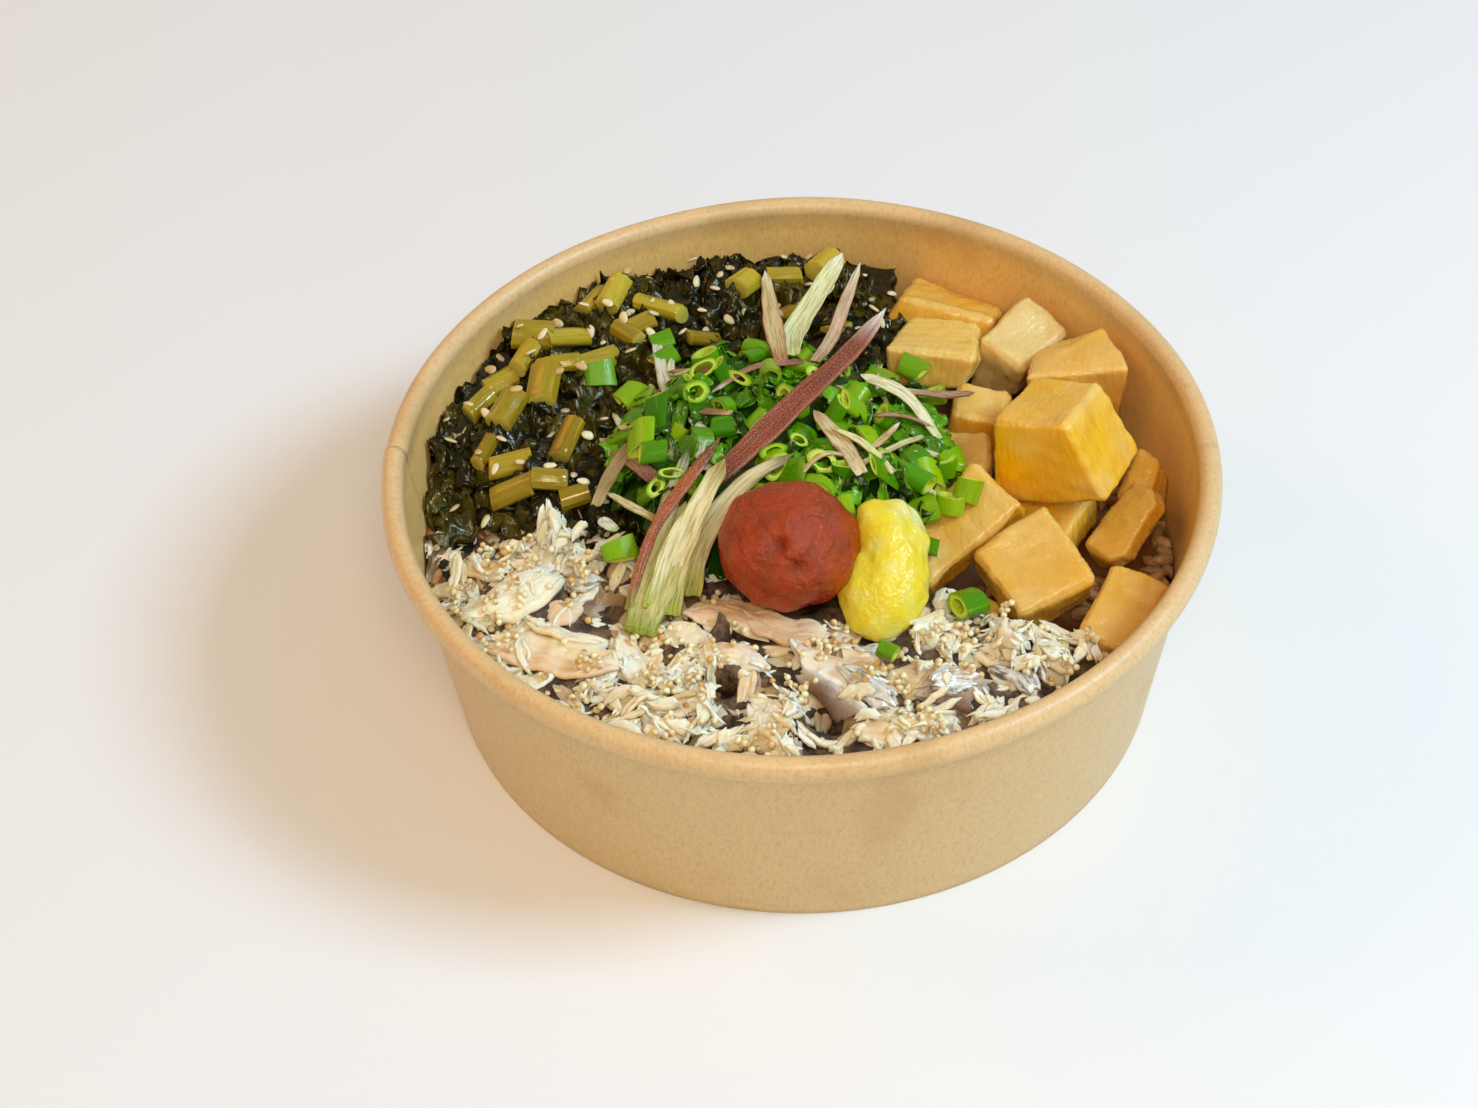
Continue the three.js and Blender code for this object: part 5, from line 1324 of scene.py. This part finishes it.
# The way from tip to root through points; the widths there; thickness; how cupped; then the
# colours of the middle, the edges, the tip and the root.
GINGER = {
    "red": ([(18.5, 44.6, 52.5), (10.5, 26.7, 56), (0.2, 11.5, 57.2), (-10.1, -1.6, 56), (-18, -9.7, 53.4)],
            (2.4, 4.2, 4.8, 4.6, 3.2), 1.8, 0.3, ("8c3c20", "a86248", "efe0d4", "6e2812")),
    "fan_left": ([(-21.6, 0.1, 55.2), (-25.3, -11.1, 51.4), (-29, -22.8, 46.4), (-31.4, -32.8, 43.4)],
                 (1.6, 3.6, 5.0, 6.0), 1.0, 0.2, ("c9cc98", "7c8660", "6c7a60", "90a428")),
    "fan_middle": ([(-14.6, -5.6, 57), (-19.9, -15.2, 53.2), (-24.5, -24.7, 48.4), (-26.9, -34.2, 44)],
                   (3.8, 4.8, 6.4, 7.0), 1.0, 0.25, ("f2ecbc", "d2ca82", "b0a05c", "a2b030")),
    "fan_right": ([(-0.9, -5.1, 57.8), (-10.7, -10.9, 55.6), (-19.3, -20.6, 49.6), (-22.4, -30, 44.8)],
                  (1.6, 4.8, 5.6, 6.0), 1.0, 0.3, ("e4dcae", "8c6c50", "6c7444", "b4b84a")),
    "pink": ([(-40.4, 12.5, 46.6), (-35.2, 4.7, 49.4), (-28.6, -5.4, 51.8)],
             (1.6, 3.2, 3.0), 0.9, 0.2, ("a87a64", "8e5c4a", "eae0cc", "7c4838")),
    "tan": ([(-6.7, 58.6, 52), (-5.2, 40.2, 53.5), (-3.3, 24.1, 55.6)],
            (1.4, 4.0, 2.8), 0.9, 0.25, ("dcc68c", "a4583a", "e6dcb8", "b98850")),
    "pale": ([(9.8, 58.8, 56), (4.8, 50.8, 52.8), (-0.6, 38.5, 52), (-0.9, 28.3, 54.4)],
             (2.8, 4.8, 5.2, 2.6), 0.9, 0.25, ("ecf0be", "ccd48c", "f2f0d8", "dce49a")),
    "blush": ([(13.6, 59.4, 53), (9.9, 47.2, 51.6), (6.9, 35.4, 52.2), (3.4, 25.6, 54.6)],
              (1.2, 2.8, 3.0, 2.2), 0.8, 0.2, ("dfc8a8", "a8705a", "efe8cc", "c0987c")),
    "curved": ([(12.4, 19.8, 56), (21.3, 15.1, 54.4), (28, 7, 49.6)],
               (2.2, 3.4, 1.6), 0.8, 0.2, ("eeeac0", "c2b478", "e4dcb0", "d8e49c")),
    "thin": ([(30.3, 14.9, 44.8), (20.8, 3.7, 52), (11.6, -6.2, 55.4)],
             (0.9, 1.9, 1.6), 0.8, 0.1, ("e6e2a4", "c0a868", "cfc07a", "e0d89a")),
    "brown": ([(36, 23.7, 47), (29.2, 20.6, 49.4), (21, 17.6, 53.4)],
              (1.2, 1.9, 1.4), 0.8, 0.1, ("b08a64", "84543a", "8a5c3c", "c8ac84")),
    "edge": ([(2.9, 6.3, 58.6), (8.8, -2.3, 56.6), (11.9, -9.9, 56.6)],
             (2.6, 3.4, 2.6), 0.8, 0.2, ("e2d3a2", "94382c", "c0986c", "e6d4a4")),
    "back": ([(-30.1, 45.7, 45.6), (-27.8, 28.7, 49.4), (-25.4, 12.6, 53.6)],
             (1.6, 2.9, 2.2), 0.8, 0.2, ("e2e0c4", "b4ac88", "ece8d0", "c4bc98")),
}
# More of the buds that show: the way through points, the widths, thickness, cup and colours.
SHOWN_STRIPS = [
    ([(-15.4, 0.8, 57.0), (-22.6, -10.0, 54.2), (-28.3, -18.4, 50.6), (-31.9, -28.2, 45.8),
      (-32.6, -33.6, 43.6)],
     (2.2, 2.6, 2.2, 1.8, 1.2), 1.0, 0.1, ("a8582c", "8c3420", "7c4a28", "8c9a2a")),
    ([(-22.3, -10.9, 50.8), (-24.9, -19.1, 48.2), (-28.0, -27.4, 45.6), (-29.8, -33.4, 43.4),
      (-31.0, -38.0, 42.2)],
     (3.0, 9.6, 9.0, 7.4, 6.0), 2.4, 0.1, ("d4d088", "a8ac58", "e0d8a0", "8c9c1c")),
    ([(-30.6, 6.9, 52.6), (-36.1, 1.5, 50.0), (-40.3, -7.3, 46.8)],
     (2.2, 3.2, 2.4), 0.8, 0.25, ("a08858", "7c5c3c", "8a6a44", "b4a678")),
    ([(-38.2, -5.0, 48.0), (-33.0, -10.4, 49.2), (-28.1, -14.9, 50.0)],
     (0.8, 2.2, 2.0), 0.7, 0.2, ("e0d49c", "b49a5c", "f0e8cc", "c4ac58")),
    ([(-39.5, -10.3, 46.0), (-37.8, -12.4, 46.4), (-36.2, -14.0, 46.4)],
     (1.8, 2.8, 2.0), 0.7, 0.2, ("e8e8d0", "c8cca0", "f4f2e4", "b8c468")),
    ([(-26.2, 20.6, 50.6), (-20.2, 12.0, 54.2), (-13.4, 8.0, 56.8)], (0.9, 1.8, 1.4), 0.7, 0.15, "brown"),
    ([(-17.6, 16.4, 54.8), (-9.0, 23.0, 55.6), (1.0, 24.2, 55.8)], (0.9, 1.8, 1.4), 0.7, 0.15, "pink"),
    ([(-22.0, 9.6, 54.2), (-19.0, 3.2, 56.0), (-19.8, -3.4, 55.6)], (1.2, 2.2, 1.6), 0.7, 0.15, "back"),
    ([(14.4, 6.4, 56.8), (20.0, 8.8, 54.6), (26.6, 9.6, 50.8)], (0.8, 1.4, 1.0), 0.7, 0.1, "brown"),
    ([(5.6, 1.6, 58.6), (12.2, -1.8, 57.2), (18.2, -7.4, 54.2)], (0.9, 1.7, 1.2), 0.7, 0.1, "thin"),
    ([(-27.0, 28.6, 50.0), (-20.6, 24.4, 53.8), (-14.0, 22.8, 55.8)], (0.8, 1.6, 1.2), 0.7, 0.1, "brown"),
]


def bud_strip(random, points, widths, thickness, cup, colours, rows=72, sides=40):
    """A cupped strip of bud scale with fine ribs along it, a sharp tip and a torn root."""
    t = np.linspace(0, 1, rows)[:, None]
    line = curve(points, t[:, 0])
    forward, across, over = (way[:, None, :] for way in sides_of(line))
    half = curve([[width, 0, 0] for width in widths], t[:, 0])[:, :1] / 2
    half = half * np.clip((t / 0.1) ** 0.75, 0.05, 1)
    half = half * (1 + 0.05 * sway(random, 13 * t) + 0.03 * sway(random, 31 * t))
    angles = round_angles(sides)
    v, w = np.cos(angles), np.sin(angles)
    wave = v * half * 2 * math.pi / 0.9 + 0.6 * np.sin(5 * t)
    rib = 0.09 * np.sin(wave) * np.abs(w)
    thin = thickness / 2 * np.clip(t / 0.12, 0.12, 1) * np.clip((1 - t) / 0.05, 0.3, 1)
    twist = 0.3 * sway(random, 3 * t)
    side = half * v
    high = np.sign(w) * (thin * np.abs(w) ** 0.7 + rib) - cup * half * (1 - v**2) + twist * side * 0.6
    torn = np.where(t > 0.98, random.normal(size=(1, sides)) * 0.2, 0)
    rings = line[:, None, :] + across * side[..., None] + over * high[..., None] + forward * torn[..., None]
    middle, edge, tip, root = (rgb(code) for code in colours)
    tint = blend(middle, edge, np.clip(np.abs(v) ** 6, 0, 1) + 0 * t)
    tint = blend(tint, edge, 0.35 * np.clip(np.sin(wave + 1.4), 0, 1) ** 2 * (0.4 + 0.6 * t))
    tint = blend(tint, tip, smooth(0.22, 0.02, t))
    tint = blend(tint, root, smooth(0.7, 1.0, t))
    grain = stacked(t * 40, v * half + w * 0.2, random.uniform(0, GRAIN_DEPTH))
    return tube(rings), tint.reshape(-1, 3), grain.reshape(-1, 3)


def named_mix(colours):
    """The colours themselves, or those of the strip that is named in their place."""
    return GINGER[colours][-1] if isinstance(colours, str) else colours


def make_ginger(ground):
    look = bud_look()
    for order, (name, strip) in enumerate(GINGER.items()):
        shapes = Shapes()
        shapes.add(*bud_strip(np.random.default_rng(STRIP_SEED + order), *strip))
        shapes.piece(f"ginger_strip_{name}", look, "ginger", f"ginger_{name}")
    random = np.random.default_rng(SLIVER_SEED)
    slivers = Shapes()
    for *form, colours in SHOWN_STRIPS:
        slivers.add(*bud_strip(random, *form, named_mix(colours), rows=56, sides=32))
    mixes = [strip[-1] for strip in GINGER.values()]
    for at in ground.scatter(random, SLIVERS, spacing=6.0):
        yaw, length = random.uniform(0, 360), random.uniform(7, 15)
        line = at + np.outer([-1, 0, 1], heading(yaw, 0)[:2] * length / 2)
        line[1] += random.normal(size=2) * 1.2
        high = ground.at(*line.T)
        points = np.c_[line, np.maximum(high, high.mean()) + 0.2]
        width = random.uniform(1.0, 2.0)
        slivers.add(*bud_strip(random, points, (width * 0.6, width, width * 0.7), 0.6, 0.1,
                               mixes[random.integers(len(mixes))], rows=36, sides=20))
    slivers.piece("ginger_slivers", look, "ginger")


# ---------------------------------------------------------------- the camera and the light
CAMERA_AT = (0, -0.39094, 0.4139)
CAMERA_PAN = -0.0326
CAMERA_TILT = 0.7822
CAMERA_ROLL = -0.04
FRAME_WIDTH = 1478
FOCAL_WIDTHS = 2700 / FRAME_WIDTH
SENSOR = 36
FLOOR_REACH = 4.0
# The room is warm and the window, which is the key light on the right, is cool.
ROOM_LIGHT = (0.375, 0.357, 0.324)
# Azimuth and elevation in degrees, distance, size, power and colour.
LIGHTS = {
    "key": (-10, 47, 1.3, 0.36, 11.7, (0.484, 0.74, 1.0)),
    "front": (-85, 50, 1.5, 0.5, 8.4, (1.0, 0.85, 0.62)),
    "fill": (165, 40, 1.4, 0.6, 3.4, (1.0, 0.42, 0.05)),
}


def make_camera():
    flat = math.cos(CAMERA_TILT)
    forward = Vector((math.sin(CAMERA_PAN) * flat, math.cos(CAMERA_PAN) * flat, -math.sin(CAMERA_TILT)))
    level = forward.cross(Vector((0, 0, 1))).normalized()
    upright = level.cross(forward)
    right = level * math.cos(CAMERA_ROLL) + upright * math.sin(CAMERA_ROLL)
    up = upright * math.cos(CAMERA_ROLL) - level * math.sin(CAMERA_ROLL)
    data = bpy.data.cameras.new("camera")
    data.sensor_width = SENSOR
    data.lens = SENSOR * FOCAL_WIDTHS
    camera = shown("camera", data)
    turn = Matrix((right, up, -forward)).transposed()
    camera.matrix_world = Matrix.Translation(CAMERA_AT) @ turn.to_4x4()
    bpy.context.scene.camera = camera


def area_light(name, azimuth, elevation, distance, size, power, colour):
    """A soft square light that looks at the bowl."""
    data = bpy.data.lights.new(name, "AREA")
    data.size = size
    data.energy = power
    data.color = colour
    away = Vector(heading(azimuth, elevation))
    light = shown(name, data)
    light.location = away * distance
    light.rotation_euler = away.to_track_quat("Z", "Y").to_euler()


def make_stage():
    mesh = bpy.data.meshes.new("floor")
    corners = [(x * FLOOR_REACH, y * FLOOR_REACH, 0) for x, y in ((-1, -1), (1, -1), (1, 1), (-1, 1))]
    mesh.from_pydata(corners, [], [(0, 1, 2, 3)])
    mesh.materials.append(Look("pale_floor", "f0f0f0", Roughness=0.7).done())
    floor = shown("floor", mesh)
    world = bpy.data.worlds.new("world")
    bpy.context.scene.world = world
    world.use_nodes = True
    background = world.node_tree.nodes["Background"].inputs
    background["Color"].default_value = (*ROOM_LIGHT, 1)
    background["Strength"].default_value = 1.0
    for name, setting in LIGHTS.items():
        area_light(name, *setting)
    bpy.context.scene.view_settings.view_transform = "Standard"


# ---------------------------------------------------------------- everything together
SPREAD_STEPS = 40
level, owner = seen_from_above()


def ground_of(name, drop):
    """The ground of one food, lowered so that what is laid on it ends at the solid's top, and
    carried on under its neighbours."""
    mine = owner == name
    known = mine.copy()
    own = np.where(mine, level - drop, 0.0)
    for _ in range(SPREAD_STEPS):
        total = sum(around(own * known))
        near = sum(around(known.astype(int)))
        fresh = ~known & (near > 0)
        own[fresh] = total[fresh] / near[fresh]
        known |= fresh
    own[~known] = own[known].min()
    return Ground(mine, blurred(own, reach=2))


make_camera()
make_stage()
make_bowl()
make_rice(ground_of("rice", 0.6))
make_nori()
make_mackerel(ground_of("mackerel", 2.4))
make_greens(ground_of("greens", 2.9))
make_daikon()
make_plum()
make_paste()
heap_ground = ground_of("scallion_heap", 1.8)
make_scallions(heap_ground)
make_ginger(heap_ground)
